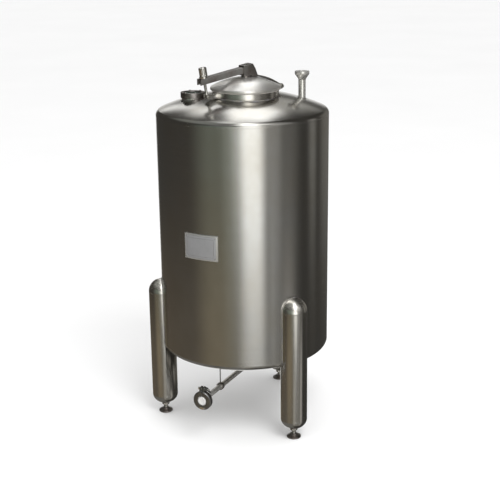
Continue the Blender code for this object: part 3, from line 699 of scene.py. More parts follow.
def head_arc(tangent, up, crown, offset=0):
    drop = crown_drop(crown)
    meet = math.degrees(math.atan2(drop, HEAD_REACH))
    curve = arc((HEAD_REACH, 0), KNUCKLE_RADIUS + offset, 0, meet, KNUCKLE_STEPS)
    curve += arc((0, -drop), crown + offset, meet, 90, CROWN_STEPS)[1:]
    return [(radius, tangent + up * height) for radius, height in curve]


def head_height(radius, tangent, up, crown):
    """The height of a head's outer face at a distance from the axis, on its knuckle too."""
    if radius > HEAD_REACH * crown / (crown - KNUCKLE_RADIUS):
        return tangent + up * math.sqrt(max(KNUCKLE_RADIUS**2 - (radius - HEAD_REACH) ** 2, 0.0))
    return tangent + up * (math.sqrt(crown**2 - radius**2) - crown_drop(crown))


def top_height(x, y):
    return head_height(math.hypot(x, y), *TOP_HEAD)


def bottom_height(radius):
    return head_height(radius, *BOTTOM_HEAD)


def on_arm(offset, height):
    return MANWAY_CENTRE + ARM_DIRECTION @ Vector((offset, 0, height))


def dome_height(offset, lift=0.0):
    return LID_DOME_CENTRE + math.sqrt((LID_DOME_RADIUS + lift) ** 2 - offset**2)


def across_arm(offset, height):
    return moved(on_arm(offset, height)) @ turn_to(ARM_DIRECTION @ Vector((0, 1, 0)))


def bolt_direction():
    return ARM_DIRECTION @ Vector((-math.sin(ARM_SLOPE), 0, math.cos(ARM_SLOPE)))


def facing_front(y=0.0):
    return moved(Vector((0, y, DRAIN_HEIGHT))) @ Matrix.Rotation(math.radians(90), 4, "X")


def threaded(name, crest, low, high, pitch, segments, place, neck=()):
    """A bar with a thread between two heights, and with the outline of a plain neck under it."""
    core = crest - pitch / 2
    side = upright(crest, low, high, round((high - low) / pitch * THREAD_STEPS))
    outline = [*(neck or [(0, low)]), (core, low), *side, (core, high), (0, high)]

    def shape(radius, height, angle):
        if radius < crest - GAP / 4:
            return radius
        phase = (height / pitch - angle / (2 * math.pi)) % 1.0
        return core + (crest - core) * (1 - abs(2 * phase - 1))

    return turned(name, outline, "bright_steel", segments, place, corner=0, shape=shape)


# Pieces

def build_vessel():
    inner = SHELL_RADIUS - WALL
    shell = turned("shell_skin", rectangle(inner, SHELL_RADIUS, BOTTOM_TANGENT, TOP_TANGENT), "brushed_shell",
                   ROUND_VESSEL, corner=0)
    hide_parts("shell")
    top_holes = ((MANWAY_CENTRE, NECK_BORE, ROUND_LARGE),
                 (polar(INLET_CIRCLE, INLET_ANGLE), INLET_BORE, ROUND_SMALL),
                 (polar(PORT_CIRCLE, PORT_ANGLE), PORT_BORE, ROUND_MEDIUM))
    drain_hole = ((Vector(), DRAIN_BORE, ROUND_SMALL),)
    heads = (("top_head", TOP_HEAD, top_holes), ("bottom_head", BOTTOM_HEAD, drain_hole))
    for name, head, holes in heads:
        outline = head_arc(*head) + head_arc(*head, -WALL)[::-1]
        skin = turned(name + "_skin", outline, "brushed_head", ROUND_VESSEL, corner=0)
        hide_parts(name)
        cutters = []
        for centre, radius, segments in holes:
            place = moved(centre)
            bar = disc(radius, 0, LID_APEX)
            cutters.append(turned("hole", bar, "brushed_head", segments, place, corner=0))
        cut(skin, cutters)
        seam = seam_outline(SHELL_RADIUS, head[0], SEAM_WIDTH)
        turned("seam_" + name, seam, "weld_seam", ROUND_VESSEL, corner=0)


def seam_outline(radius, height, width):
    """A weld ground nearly flush: a shallow arc over the surface, with its root inside the wall."""
    crest = [(radius + SEAM_RISE * (1 - (i / 4) ** 2), height + width / 2 * i / 4) for i in range(-4, 5)]
    return [(radius - WALL / 2, height - width / 2)] + crest + [(radius - WALL / 2, height + width / 2)]


def build_long_seam():
    """The shell's vertical seam, ground nearly flush, at the back."""
    half = math.degrees(SEAM_WIDTH / 2 / SHELL_RADIUS)
    section = ((-1, -WALL / 2), (-1, 0), (-0.6, SEAM_RISE), (0.6, SEAM_RISE), (1, 0), (1, -WALL / 2))
    mesh = bmesh.new()
    rows = [[mesh.verts.new(polar(SHELL_RADIUS + rise, SEAM_ANGLE + half * share, height))
             for share, rise in section]
            for height in (BOTTOM_TANGENT + SEAM_WIDTH / 2, TOP_TANGENT - SEAM_WIDTH / 2)]
    join_rings(mesh, *rows)
    close_ends(mesh, rows)
    link("seam_shell", mesh, "weld_seam")


def leg_outline():
    outline = [(0, LEG_BOTTOM)]
    for degrees in range(0, 91, 6):
        a = math.radians(degrees)
        radius = LEG_RADIUS * math.sin(a)
        if radius > NUT_CORNER + LEG_MARGIN:
            outline.append((radius, LEG_BOTTOM + LEG_BOTTOM_CAP * (1 - math.cos(a))))
    outline.insert(1, (outline[1][0] - LEG_FLAT, LEG_BOTTOM))
    return outline + arc((0, LEG_TOP - LEG_RADIUS), LEG_RADIUS, 0, 90, LEG_STEPS)


def leg_radius_at(height):
    """The leg's radius at a height, on its straight stretch or its domed top."""
    over = height - (LEG_TOP - LEG_RADIUS)
    return math.sqrt(max(LEG_RADIUS**2 - max(over, 0.0) ** 2, 0.0))


def cope_path(angle):
    """The closed line where a leg meets the vessel: under its dome, up the shell and on the bottom head."""
    side = []
    dome = [LEG_TOP - LEG_RADIUS * (1 - math.cos(math.radians(a))) for a in range(2, 91, 8)]
    stations = [(SHELL_RADIUS, height) for height in (*dome, *LEG_STATIONS, BOTTOM_TANGENT)]
    stations += head_arc(*BOTTOM_HEAD)[1:]
    for radius, height in stations:
        leg = leg_radius_at(height)
        share = (radius**2 + LEG_CIRCLE**2 - leg**2) / (2 * radius * LEG_CIRCLE) if radius else 2
        if share > 1:
            break
        side.append((radius, math.degrees(math.acos(share)), height))
    inmost = LEG_CIRCLE - LEG_RADIUS
    side.append((inmost, 0, bottom_height(inmost)))
    first = [polar(radius, angle + turn, height) for radius, turn, height in side]
    second = [polar(radius, angle - turn, height) for radius, turn, height in side[:-1]]
    return first + second[::-1]


def vessel_cutter():
    """A solid like the vessel, whose faces lie half a wall inside it."""
    outline = head_arc(*BOTTOM_HEAD, -WALL / 2)[::-1]
    outline += [(SHELL_RADIUS - WALL / 2, TOP_TANGENT), (0, TOP_TANGENT)]
    return turned("hole", outline, "brushed_leg", ROUND_VESSEL, corner=0)


def build_legs():
    outline = leg_outline()
    for side, angle in LEG_ANGLES.items():
        place = moved(polar(LEG_CIRCLE, angle))
        leg = turned("leg_skin_" + side, outline, "brushed_leg", ROUND_LARGE, place, corner=0)
        cut(leg, [vessel_cutter()])
        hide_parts("leg_" + side)
        weld("leg_weld_" + side, cope_path(angle), LEG_BEAD)
        for end, height in (("top", LEG_TOP - LEG_RADIUS), ("bottom", LEG_BOTTOM + LEG_BOTTOM_CAP)):
            seam = seam_outline(LEG_RADIUS, height, LEG_SEAM_WIDTH)
            ring = turned(f"leg_seam_{side}_{end}", seam, "weld_seam", ROUND_LARGE, place, corner=0)
            if end == "top":
                cut(ring, [vessel_cutter()])
        build_foot(side, place)


def build_foot(side, place):
    nut_top = LEG_BOTTOM - GAP
    nut_low = nut_top - NUT_HEIGHT
    bore = SCREW_RADIUS + GAP
    least = NUT_FLAT * NUT_FACE

    def hexagon(radius, height, angle):
        if radius < NUT_CORNER:
            return radius
        edge = NUT_FLAT / math.cos((angle + math.pi / 6) % (math.pi / 3) - math.pi / 6)
        cone = least + min(nut_top - height, height - nut_low) / NUT_CHAMFER * (NUT_CORNER - NUT_FLAT)
        return min(edge, max(cone, least))

    outline = [(bore, nut_low)] + upright(NUT_CORNER, nut_low, nut_top, NUT_STEPS) + [(bore, nut_top)]
    nut = turned("foot_locknut_" + side, outline, "bright_steel", ROUND_NUT, place, corner=0, shape=hexagon)
    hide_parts("foot_nut_" + side)
    screw = threaded("foot_thread_" + side, SCREW_RADIUS, PAD_HEIGHT + GAP, nut_top, SCREW_PITCH, ROUND_SCREW,
                     place)
    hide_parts("foot_screw_" + side)
    half = PAD_BEVEL / 2
    pad = [(0, 0), (PAD_RADIUS - half, 0), (PAD_RADIUS, half), (PAD_RADIUS, PAD_EDGE - half),
           (PAD_RADIUS - PAD_BEVEL, PAD_EDGE), (PAD_BOSS + PAD_FOOT, PAD_EDGE + PAD_SLOPE),
           (PAD_BOSS, PAD_HEIGHT - PAD_BEVEL), (PAD_BOSS - PAD_BEVEL, PAD_HEIGHT), (0, PAD_HEIGHT)]
    skin = turned("foot_base_" + side, pad, "dull_steel", ROUND_MEDIUM, place)
    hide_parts("foot_pad_" + side)


def circle_on_head(centre, radius):
    points = []
    for a in range(0, 360, 4):
        spoke = polar(radius, a)
        x, y = centre.x + spoke.x, centre.y + spoke.y
        points.append(Vector((x, y, top_height(x, y))))
    return points


def tube_on_head(name, node_name, centre, bore, radius, top, segments, bead, corner=EDGE,
                 look="bright_steel"):
    """An upright tube that stands on the top head, with its weld."""
    edge = math.hypot(centre.x, centre.y) + radius
    low = top_height(min(edge, SHELL_RADIUS - GAP), 0) - WALL
    tube = turned(name, rectangle(bore, radius, low, top), look, segments, moved(centre), corner=corner)
    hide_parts(node_name)
    weld(name + "_weld", circle_on_head(centre, radius + bead * BEAD_SHARE), bead)


def build_manway():
    centre = moved(MANWAY_CENTRE)
    tube_on_head("neck_skin", "manway_neck", MANWAY_CENTRE, NECK_BORE, NECK_RADIUS, NECK_TOP, ROUND_LARGE,
                 NECK_BEAD)
    low = NECK_TOP + GAP
    outline = rectangle(NECK_BORE - GASKET_LAP, NECK_RADIUS + GASKET_LAP, low, low + GASKET_THICKNESS)
    gasket = turned("gasket_skin", outline, "white_rubber", ROUND_LARGE, centre)
    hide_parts("manway_gasket")
    for node_name in ("hinge_bracket", "bolt_lug"):
        softened(node_name, BRACKET_EDGE, "bright_steel")
    pin("hinge_pin", HINGE_OFFSET, HINGE_HEIGHT, HINGE_PIN_RADIUS, HINGE_PIN_LENGTH,
        EAR_SPACING + EAR_THICKNESS / 2)
    pin("bolt_pin", BOLT_OFFSET, BOLT_HEIGHT, BOLT_PIN_RADIUS, BOLT_PIN_LENGTH,
        LUG_SPACING + LUG_THICKNESS / 2)
    build_swing_bolt()


def pin(node_name, offset, height, radius, length, seat):
    """A clevis pin square to the arm: a flat head at one end, a split pin through the other."""
    half = length / 2
    place = across_arm(offset, height)
    head = radius * PIN_HEAD
    under = -seat - GAP
    outline = [(0, -half), (head, -half), (head, under), (radius, under), (radius, half), (0, half)]
    made = turned(node_name + "_skin", outline, "bright_steel", ROUND_SMALL, place, corner=FINE_EDGE)
    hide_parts(node_name)
    wide, high, wire = (radius * share for share in SPLIT_PIN)
    middle = (seat + half) / 2 + SPLIT_PIN_OUT
    loop = [place @ Vector((0, wide * spot.x, middle + high * spot.y)) for spot in circle(1, step=15)]
    swept(node_name + "_cotter", loop, lambda i: wire, "bright_steel", closed=True, sides=8)


def build_swing_bolt():
    half = BOLT_EYE_WIDTH / 2
    eye = turned("bolt_eye_skin", rectangle(BOLT_PIN_RADIUS + GAP, BOLT_EYE, -half, half), "bright_steel",
                 ROUND_SMALL, across_arm(BOLT_OFFSET, BOLT_HEIGHT))
    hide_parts("swing_bolt")
    place = moved(on_arm(BOLT_OFFSET, BOLT_HEIGHT)) @ turn_to(bolt_direction())
    low = BOLT_EYE - BOLT_IN_EYE
    neck = BOLT_RADIUS - BOLT_NECK_INSET
    threaded("bolt_thread", BOLT_RADIUS, low + BOLT_NECK + BOLT_RELIEF, BOLT_LENGTH, BOLT_PITCH, ROUND_SCREW,
             place, [(0, low), (neck, low), (neck, low + BOLT_NECK)])


def build_lid():
    centre = moved(MANWAY_CENTRE)
    edge = 90 - math.degrees(math.asin(LID_RADIUS / LID_DOME_RADIUS))
    outer = arc((0, LID_DOME_CENTRE), LID_DOME_RADIUS, edge, 90, LID_STEPS)
    inner = arc((0, LID_DOME_CENTRE), LID_DOME_RADIUS - LID_WALL, edge, 90, LID_STEPS)
    inner = [point for point in inner if point[0] < NECK_BORE]
    outline = [(LID_RADIUS, LID_BOTTOM)] + outer + inner[::-1] + [(inner[0][0], LID_BOTTOM)]
    lid = turned("lid_skin", outline, "polished_steel", ROUND_LARGE, centre, "lid_body", corner=LID_EDGE)
    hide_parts("lid")
    softened("lid_arm", ARM_EDGE, "dull_steel", "lid_body")
    seat = [(radius, dome_height(radius, GAP)) for radius in (0, BOSS_RADIUS / 2, BOSS_RADIUS)]
    outline = seat + [(BOSS_RADIUS, BLOCK_BOTTOM - GAP), (0, BLOCK_BOTTOM - GAP)]
    boss = turned("boss_skin", outline, "dull_steel", ROUND_SMALL, centre, "lid_body")
    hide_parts("lid_boss")
    path = circle(BOSS_RADIUS + BEAD_OUT, dome_height(BOSS_RADIUS), 6, MANWAY_CENTRE)
    weld("boss_weld", path, BOSS_BEAD, body="lid_body")


def build_hand_nut():
    """A fluted hand nut with a flange, domed on top."""
    base = BOLT_TO_ARM + ARM_THICKNESS / 2 + GAP
    along = bolt_direction()
    place = moved(on_arm(BOLT_OFFSET, BOLT_HEIGHT) + along * base) @ turn_to(along)
    low = HAND_NUT_FLANGE_HEIGHT + FLUTE_END
    high = HAND_NUT_HEIGHT - FLUTE_END * 2
    outline = [(HAND_NUT_BORE, 0), (HAND_NUT_FLANGE, 0),
               (HAND_NUT_FLANGE, HAND_NUT_FLANGE_HEIGHT - FLANGE_STEP),
               (HAND_NUT_RADIUS, HAND_NUT_FLANGE_HEIGHT)]
    outline += upright(HAND_NUT_RADIUS, low, high, NUT_STEPS)
    outline += [(HAND_NUT_RADIUS - HAND_NUT_SHOULDER, high + FLUTE_END)]
    outline += arc((0, HAND_NUT_HEIGHT - HAND_NUT_DOME), HAND_NUT_DOME, 64, 90, 6)
    outline += [(0, HAND_NUT_POINT), (HAND_NUT_BORE, HAND_NUT_DEPTH)]

    def flutes(radius, height, angle):
        if radius < HAND_NUT_RADIUS - GAP / 4 or not low < height < high:
            return radius
        end = min(min(height - low, high - height) / FLUTE_END, 1.0)
        return radius - FLUTE_DEPTH * end * max(math.cos(HAND_NUT_FLUTES * angle), 0.0) ** FLUTE_POWER

    nut = turned("hand_nut_skin", outline, "bright_steel", ROUND_HAND_NUT, place, "lid_body", corner=0,
                 shape=flutes)
    nut.data.transform(place)
    nut.matrix_world = Matrix()
    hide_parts("hand_nut")


def build_inlet():
    centre = polar(INLET_CIRCLE, INLET_ANGLE)
    tube_on_head("inlet_skin", "inlet_tube", centre, INLET_BORE, INLET_RADIUS, INLET_CONE_BOTTOM - GAP,
                 ROUND_MEDIUM, INLET_BEAD, corner=0, look="light_tube")
    groove = [(radius, INLET_TOP - depth) for radius, depth in FERRULE_GROOVE]
    outline = [(INLET_BORE, INLET_CONE_BOTTOM), (INLET_RADIUS, INLET_CONE_BOTTOM),
               (FERRULE_RADIUS - FERRULE_SOFT, INLET_CONE_TOP - FERRULE_SOFT),
               (FERRULE_RADIUS, INLET_CONE_TOP + FERRULE_RIM),
               (FERRULE_RADIUS, INLET_TOP)] + groove + [(INLET_BORE, INLET_TOP)]
    ferrule = turned("inlet_ferrule_skin", outline, "light_tube", ROUND_MEDIUM, moved(centre),
                     corner=SMALL_EDGE)
    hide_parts("inlet_ferrule")
    path = circle(INLET_RADIUS, INLET_CONE_BOTTOM - GAP, centre=centre)
    weld("inlet_ferrule_weld", path, SMALL_BEAD)


def build_sight_port():
    centre = polar(PORT_CIRCLE, PORT_ANGLE)
    place = moved(centre)
    glass_top = PORT_TOP - PORT_RING_LIP - GAP
    glass_low = glass_top - GLASS_THICKNESS
    tube_on_head("port_skin", "sight_port_body", centre, PORT_BORE, PORT_RADIUS, glass_low - GAP, ROUND_LARGE,
                 PORT_BEAD, corner=0)
    glass = turned("glass_skin", disc(GLASS_RADIUS, glass_low, glass_top), "sight_glass", ROUND_MEDIUM, place)
    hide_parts("sight_glass")
    ring_low = PORT_TOP - PORT_RING_HEIGHT
    lip = PORT_TOP - PORT_RING_LIP
    inside = PORT_RADIUS + GAP
    outline = [(PORT_RING_RADIUS, ring_low), (PORT_RING_RADIUS, PORT_TOP),
               (PORT_VIEW_RADIUS + PORT_VIEW_BEVEL, PORT_TOP), (PORT_VIEW_RADIUS, PORT_TOP - PORT_VIEW_BEVEL),
               (PORT_VIEW_RADIUS, lip), (inside, lip), (inside, ring_low)]
    ring = turned("port_ring_skin", outline, "dull_steel", ROUND_LARGE, place)
    guide = [(0, BOTTOM_TANGENT), (SHELL_RADIUS + GAP, BOTTOM_TANGENT)]
    guide += head_arc(*TOP_HEAD, GAP)
    cut(ring, [turned("hole", guide, "dull_steel", ROUND_VESSEL, corner=0)])
    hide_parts("sight_port_ring")
    for i in range(PORT_SCREWS):
        angle = 360 / PORT_SCREWS * i + PORT_SCREW_TURN
        spot = moved(centre + polar((PORT_VIEW_RADIUS + PORT_RING_RADIUS) / 2, angle, PORT_TOP))
        turned(f"port_screw_{i}", PORT_SCREW, "bright_steel", ROUND_TINY, spot, corner=FINE_EDGE)


def build_drain():
    start = bottom_height(0) + WALL / 2
    bend = arc((-ELBOW_RADIUS, DRAIN_HEIGHT + ELBOW_RADIUS), ELBOW_RADIUS, 0, -90, ELBOW_STEPS)
    path = [Vector((0, 0, start))] + [Vector((0, y, z)) for y, z in bend]
    tail = -ELBOW_RADIUS - ELBOW_TAIL
    path.append(Vector((0, tail, DRAIN_HEIGHT)))
    elbow = pipe("elbow_skin", path)
    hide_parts("outlet_elbow")
    end = FERRULE_BACK + GAP
    straight = pipe("drain_pipe_skin", [Vector((0, tail, DRAIN_HEIGHT)), Vector((0, end, DRAIN_HEIGHT))])
    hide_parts("drain_pipe")
    weld("elbow_weld", circle(DRAIN_RADIUS + BEAD_OUT, bottom_height(DRAIN_RADIUS), 12), ELBOW_BEAD)
    for name, y in (("pipe_weld_back", tail), ("pipe_weld_front", end)):
        weld(name, [facing_front(y) @ point for point in circle(DRAIN_RADIUS, step=12)], SMALL_BEAD)
    collar = rectangle(DRAIN_RADIUS, COLLAR_RADIUS, 0, COLLAR_WIDTH)
    place = facing_front(COLLAR_WIDTH / 2 - HANGER_OFFSET)
    made = turned("collar_skin", collar, "dull_steel", ROUND_SMALL, place)
    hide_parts("drain_collar")
    build_hanger()


def pipe(name, path):
    """A hollow pipe along a path in the YZ plane."""
    mesh = bmesh.new()
    across = Vector((1, 0, 0))
    rings = []
    for i, point in enumerate(path):
        along = (path[min(i + 1, len(path) - 1)] - path[max(i - 1, 0)]).normalized()
        for radius in (DRAIN_RADIUS, DRAIN_BORE):
            rings.append(ring_about(mesh, point, radius, across, across.cross(along), ROUND_SMALL))
    outer, inner = rings[0::2], rings[1::2]
    walls = [*zip(outer, outer[1:]), *zip(inner, inner[1:]), (outer[0], inner[0]), (outer[-1], inner[-1])]
    for first, second in walls:
        join_rings(mesh, first, second)
    return link(name, mesh, "light_tube")


def build_hanger():
    low = DRAIN_HEIGHT + COLLAR_RADIUS
    high = bottom_height(HANGER_OFFSET) + WALL / 2
    path = [Vector((0, -HANGER_OFFSET, low + (high - low) * i / 4)) for i in range(5)]
    rod = swept("hanger_skin", path, lambda i: HANGER_RADIUS, "clamp_steel", sides=20)
    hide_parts("hanger_rod")
    for name, height in (("hanger_weld_low", low), ("hanger_weld_high", bottom_height(HANGER_OFFSET))):
        centre = Vector((0, -HANGER_OFFSET, height))
        weld(name, circle(HANGER_RADIUS + BEAD_OUT / 2, step=30, centre=centre), SMALL_BEAD)


def build_drain_end():
    place = facing_front()
    back = -FERRULE_FRONT - LIP_THICKNESS
    ferrule = [(DRAIN_RADIUS, -FERRULE_BACK), (HUB_RADIUS * HUB_TAPER, back - HUB_LENGTH),
               (HUB_RADIUS, back - HUB_STEP), (FERRULE_RADIUS, back), (FERRULE_RADIUS, -FERRULE_FRONT),
               (DRAIN_BORE, -FERRULE_FRONT), (DRAIN_BORE, -FERRULE_BACK)]
    made = turned("drain_ferrule_skin", ferrule, "bright_steel", ROUND_MEDIUM, place, corner=SMALL_EDGE)
    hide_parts("drain_ferrule")
    gasket = rectangle(DRAIN_BORE, FERRULE_RADIUS, -GASKET_BACK, -GASKET_FRONT)
    made = turned("drain_gasket_skin", gasket, "white_rubber", ROUND_MEDIUM, place, corner=FINE_EDGE)
    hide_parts("drain_gasket")
    lip = -LIP_FRONT
    cap = disc(FERRULE_RADIUS, lip - LIP_THICKNESS, lip)[:-1] + [(HUB_RADIUS, lip)]
    cap += [(HUB_RADIUS - inset, -FRONT_FACE - depth) for inset, depth in CAP_DISH]
    cap += [(0, -FRONT_FACE - CAP_DISH_DEPTH)]
    made = turned("drain_cap_skin", cap, "satin_cap", ROUND_MEDIUM, place, corner=BRACKET_EDGE)
    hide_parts("drain_cap")
    for node_name in ("clamp_left", "clamp_right"):
        softened(node_name, CLAMP_EDGE, "clamp_steel")
    softened("wing_nut", FINE_EDGE, "clamp_steel")
    build_clamp_bolt()
    build_clamp_link()


def build_clamp_bolt():
    """A threaded bolt through the clamp's ears, with a hexagonal head."""
    reach = CLAMP_EAR_GAP + CLAMP_EAR_THICKNESS
    middle = Vector((0, GASKET_MIDDLE, DRAIN_HEIGHT + CLAMP_BOLT_HEIGHT))
    place = moved(middle) @ turn_to(Vector((1, 0, 0)))
    head_end = -reach - GAP
    bolt = threaded("clamp_bolt_thread", CLAMP_BOLT_RADIUS, head_end, reach + CLAMP_BOLT_NUT_END,
                    CLAMP_BOLT_PITCH, ROUND_TINY, place)
    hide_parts("clamp_bolt")
    head = disc(CLAMP_BOLT_HEAD, -reach - CLAMP_BOLT_HEAD_END, head_end)
    turned("clamp_bolt_head", head, "bright_steel", 6, place, corner=SMALL_EDGE)


def build_clamp_link():
    """The link at the foot of the clamp that its halves turn on, with a pin in each."""
    front = -LIP_FRONT + GAP + CLAMP_WALL
    back = -FERRULE_FRONT - LIP_THICKNESS - GAP - CLAMP_WALL
    low = LINK_DROP - CLAMP_RADIUS
    outline = arc((LINK_SPACING, low), LINK_RADIUS, -90, 90, 10)
    outline += arc((-LINK_SPACING, low), LINK_RADIUS, 90, 270, 10)
    for name, start in (("front", front), ("back", back - LINK_THICKNESS)):
        mesh = bmesh.new()
        rings = [[mesh.verts.new((x, z, depth)) for x, z in outline]
                 for depth in (start, start + LINK_THICKNESS)]
        close_ends(mesh, rings)
        join_rings(mesh, *rings)
        link("clamp_link_" + name, mesh, "bright_steel", matrix=facing_front())
    for name, x in (("left", -LINK_SPACING), ("right", LINK_SPACING)):
        place = facing_front() @ moved((x, low, 0))
        bar = disc(LINK_PIN_RADIUS, back - LINK_PIN_BACK, front + LINK_PIN_FRONT)
        turned("clamp_link_pin_" + name, bar, "dull_steel", ROUND_PIN, place, corner=SMALL_EDGE)


def plate_corners(inset):
    """The corners of a frame on the plate, each as its azimuth and its height."""
    half = math.degrees((PLATE_WIDTH / 2 - inset) / SHELL_RADIUS)
    low = PLATE_BOTTOM + inset
    high = PLATE_TOP - inset
    return [(PLATE_ANGLE - half, low), (PLATE_ANGLE + half, low), (PLATE_ANGLE + half, high),
            (PLATE_ANGLE - half, high)]


def build_nameplate():
    """A bare plate on a stand-off, with four rivets and a fine line as its border."""
    softened("nameplate_bracket", CLAMP_EDGE, "plate_frame")
    softened("nameplate", PLATE_EDGE, "etched_plate")
    face = SHELL_RADIUS + BRACKET_DEPTH + GAP + PLATE_THICKNESS
    dome = [(0, 0)] + arc((0, -RIVET_SINK), RIVET_RADIUS, 14, 90, 6)
    for i, (angle, height) in enumerate(plate_corners(RIVET_INSET)):
        place = moved(polar(face - GAP, angle, height)) @ turn_to(polar(1, angle))
        turned(f"plate_rivet_{i}", dome, "bright_steel", ROUND_PIN, place, corner=0)
    corners = plate_corners(LINE_INSET)
    line = []
    for (angle, height), (next_angle, next_height) in zip(corners, corners[1:] + corners[:1]):
        for k in range(10):
            turn = (next_angle - angle) * k / 10
            line.append(polar(face, angle + turn, height + (next_height - height) * k / 10))
    swept("plate_line", line, lambda i: LINE_RADIUS, "bright_steel", closed=True, sides=6)


# Studio

def place_camera():
    data = bpy.data.cameras.new("camera")
    data.lens = LENS
    camera = placed("camera", data)
    turn = (Matrix.Rotation(math.radians(CAMERA_HEADING), 4, "Z")
            @ Matrix.Rotation(math.radians(90 - CAMERA_PITCH), 4, "X")
            @ Matrix.Rotation(math.radians(CAMERA_ROLL), 4, "Z"))
    camera.matrix_world = moved(CAMERA_PLACE) @ turn
    bpy.context.scene.camera = camera
    bpy.context.scene.view_settings.view_transform = "Standard"


def lay_floor():
    mesh = bmesh.new()
    bmesh.ops.create_circle(mesh, cap_ends=True, segments=FLOOR_SEGMENTS, radius=FLOOR_RADIUS)
    data = mesh_data("floor", mesh)
    floor = placed("floor", data)
    tree, shader = shader_of("pale_floor")
    shade = spread(tree, noise_at(tree, (0.8, 0.8, 0.8)), *MID_NOISE, 0.0, 1.0)
    colour = blend(tree, shade, (0.93, 0.93, 0.93), (0.91, 0.91, 0.91))
    feed(tree, shader, {"Base Color": colour, "Roughness": 0.9, "Specular IOR Level": 0.1})
    data.materials.append(looks["pale_floor"][0])
    floor.visible_glossy = False


# Soft panels that the steel reflects, fixed in the world. Each is a range of azimuths and its softness, a
# range of heights and its softness, in degrees, and a colour. Azimuth 0 points to the photograph's camera.
PANELS = (
    (7, 26, 5, -22, -18, 2, (0.6, 0.6, 0.57)),
    (-1, 27, 7, -18, 0, 2, (0.56, 0.56, 0.53)),
    (-2, 26, 7, -16, 84, 5, (1.6, 1.61, 1.58)),
    (-12, 42, 8, 36, 84, 7, (1.1, 1.11, 1.1)),
    (-13, 0, 5, -14, 8, 4, (0.6, 0.61, 0.59)),
    (-24, -8, 8, -17, 20, 7, (0.2, 0.215, 0.195)),
    (-60, -8, 18, -14, 20, 5, (0.12, 0.15, 0.125)),
    (-60, -8, 18, -30, -16, 4, (0.152, 0.12, 0.07)),
    (31, 50, 6, -21, 50, 4, (0.29, 0.29, 0.28)),
    (36.5, 41, 2.5, -24, -17, 2, (0.26, 0.26, 0.25)),
    (55, 72, 7, -60, -20.5, 1.5, (0.52, 0.5, 0.47)),
    (-8, 50, 8, -70, -22.5, 1.5, (0.19, 0.185, 0.17)),
    (-8, 10, 5, -60, -22.5, 1.5, (0.16, 0.15, 0.13)),
    (50, 78, 8, -20, 20, 4, (0.08, 0.08, 0.075)),
    (98, 112, 5, -15, 20, 4, (0.22, 0.215, 0.2)),
    (126, 162, 9, -16, 16, 6, (0.13, 0.125, 0.115)),
    (-190, -20, 20, -30, -18, 5, (0.095, 0.072, 0.045)),
    (42, 70, 10, 14, 200, 10, (0.3, 0.3, 0.3)),
    (-45, -10, 12, 24, 200, 10, (0.14, 0.14, 0.14)),
    (-150, -45, 12, 38, 200, 12, (0.20, 0.21, 0.20)),
    (-400, -8, 18, -90, -31, 4, (0.14, 0.138, 0.13)),
    (-400, 400, 1, 76, 200, 6, (0.85, 0.86, 0.85)),
    (150, 400, 8, 58, 74, 5, (1.3, 1.31, 1.3)),
    (-400, -150, 8, 58, 74, 5, (1.3, 1.31, 1.3)),
    (-168.5, -164.5, 1.5, 10, 34, 3, (1.3, 1.3, 1.28)),
    (164, 174, 4, 18, 36, 4, (0.46, 0.46, 0.44)),
    (166, 400, 3, 38, 56, 4, (2, 2.01, 1.99)),
    (-400, -163, 3, 34, 43, 3, (1.5, 1.5, 1.48)),
    (-400, -173, 3, 43, 56, 3, (2, 2.01, 1.99)),
    (-400, -165, 5, -60, 6, 8, (0.9, 0.9, 0.88)),
    (169, 400, 5, -60, 6, 8, (0.9, 0.9, 0.88)),
)
DARK = (0.055, 0.052, 0.047)
OPEN_LIGHT = 1.05


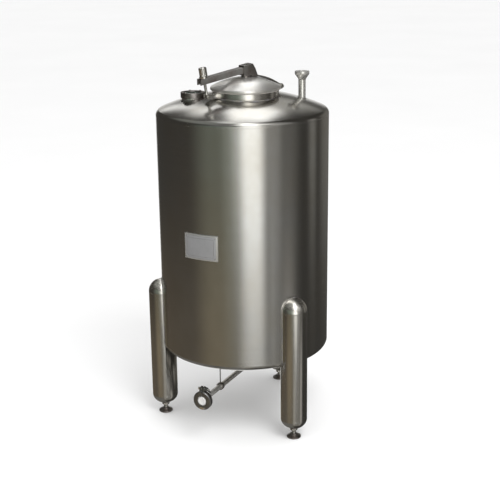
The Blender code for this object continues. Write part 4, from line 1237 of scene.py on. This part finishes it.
def light_studio():
    """Reflected surroundings from soft panels, an even light for matt surfaces, and a pale backdrop."""
    world = bpy.data.worlds.new("studio")
    bpy.context.scene.world = world
    world.use_nodes = True
    world.cycles.sampling_method = "NONE"
    tree = world.node_tree
    tree.nodes.clear()
    place = node(tree, "ShaderNodeTexCoord").outputs["Generated"]
    facing = math.radians(90 - CAMERA_HEADING)
    turned_place = node(tree, "ShaderNodeVectorRotate", {"Vector": place, "Angle": facing},
                        rotation_type="Z_AXIS").outputs["Vector"]
    axes = node(tree, "ShaderNodeSeparateXYZ", {"Vector": turned_place}).outputs
    azimuth = maths(tree, "ARCTAN2", axes["Y"], axes["X"])
    height = maths(tree, "ARCSINE", axes["Z"])
    total = node(tree, "ShaderNodeCombineXYZ", {"X": DARK[0], "Y": DARK[1], "Z": DARK[2]}).outputs[0]
    for start, end, soft, low, high, fade, colour in PANELS:
        window = 1.0
        for value, first, last, edge in ((azimuth, start, end, soft), (height, low, high, fade)):
            for limit, before, after in ((first, 0.0, 1.0), (last, 1.0, 0.0)):
                step = spread(tree, value, math.radians(limit - edge), math.radians(limit + edge), before,
                              after, "SMOOTHSTEP")
                window = maths(tree, "MULTIPLY", step, window)
        lit = scaled(tree, colour, window)
        total = node(tree, "ShaderNodeVectorMath", {0: total, 1: lit}, operation="ADD").outputs[0]
    rays = node(tree, "ShaderNodeLightPath").outputs
    reflected = node(tree, "ShaderNodeBackground", {"Color": total, "Strength": 1.0}).outputs[0]
    even = node(tree, "ShaderNodeBackground", {"Color": (1, 1, 1, 1), "Strength": OPEN_LIGHT}).outputs[0]
    mixed = node(tree, "ShaderNodeMixShader", {0: rays["Is Glossy Ray"], 1: even, 2: reflected}).outputs[0]
    node(tree, "ShaderNodeOutputWorld", {"Surface": mixed})


def hang_lamp():
    """One large soft lamp, high at the right, for the shadows."""
    data = bpy.data.lights.new("soft_lamp", "AREA")
    data.shape = "DISK"
    data.size = LAMP_SIZE
    data.energy = LAMP_POWER
    lamp = placed("soft_lamp", data)
    lamp.location = LAMP_PLACE
    lamp.rotation_euler = (LAMP_AIM - LAMP_PLACE).to_track_quat("-Z", "Y").to_euler()
    lamp.visible_glossy = False


make_looks()
build_vessel()
build_long_seam()
build_legs()
build_manway()
build_lid()
build_hand_nut()
build_inlet()
build_sight_port()
build_drain()
build_drain_end()
build_nameplate()
lay_floor()
light_studio()
hang_lamp()
place_camera()
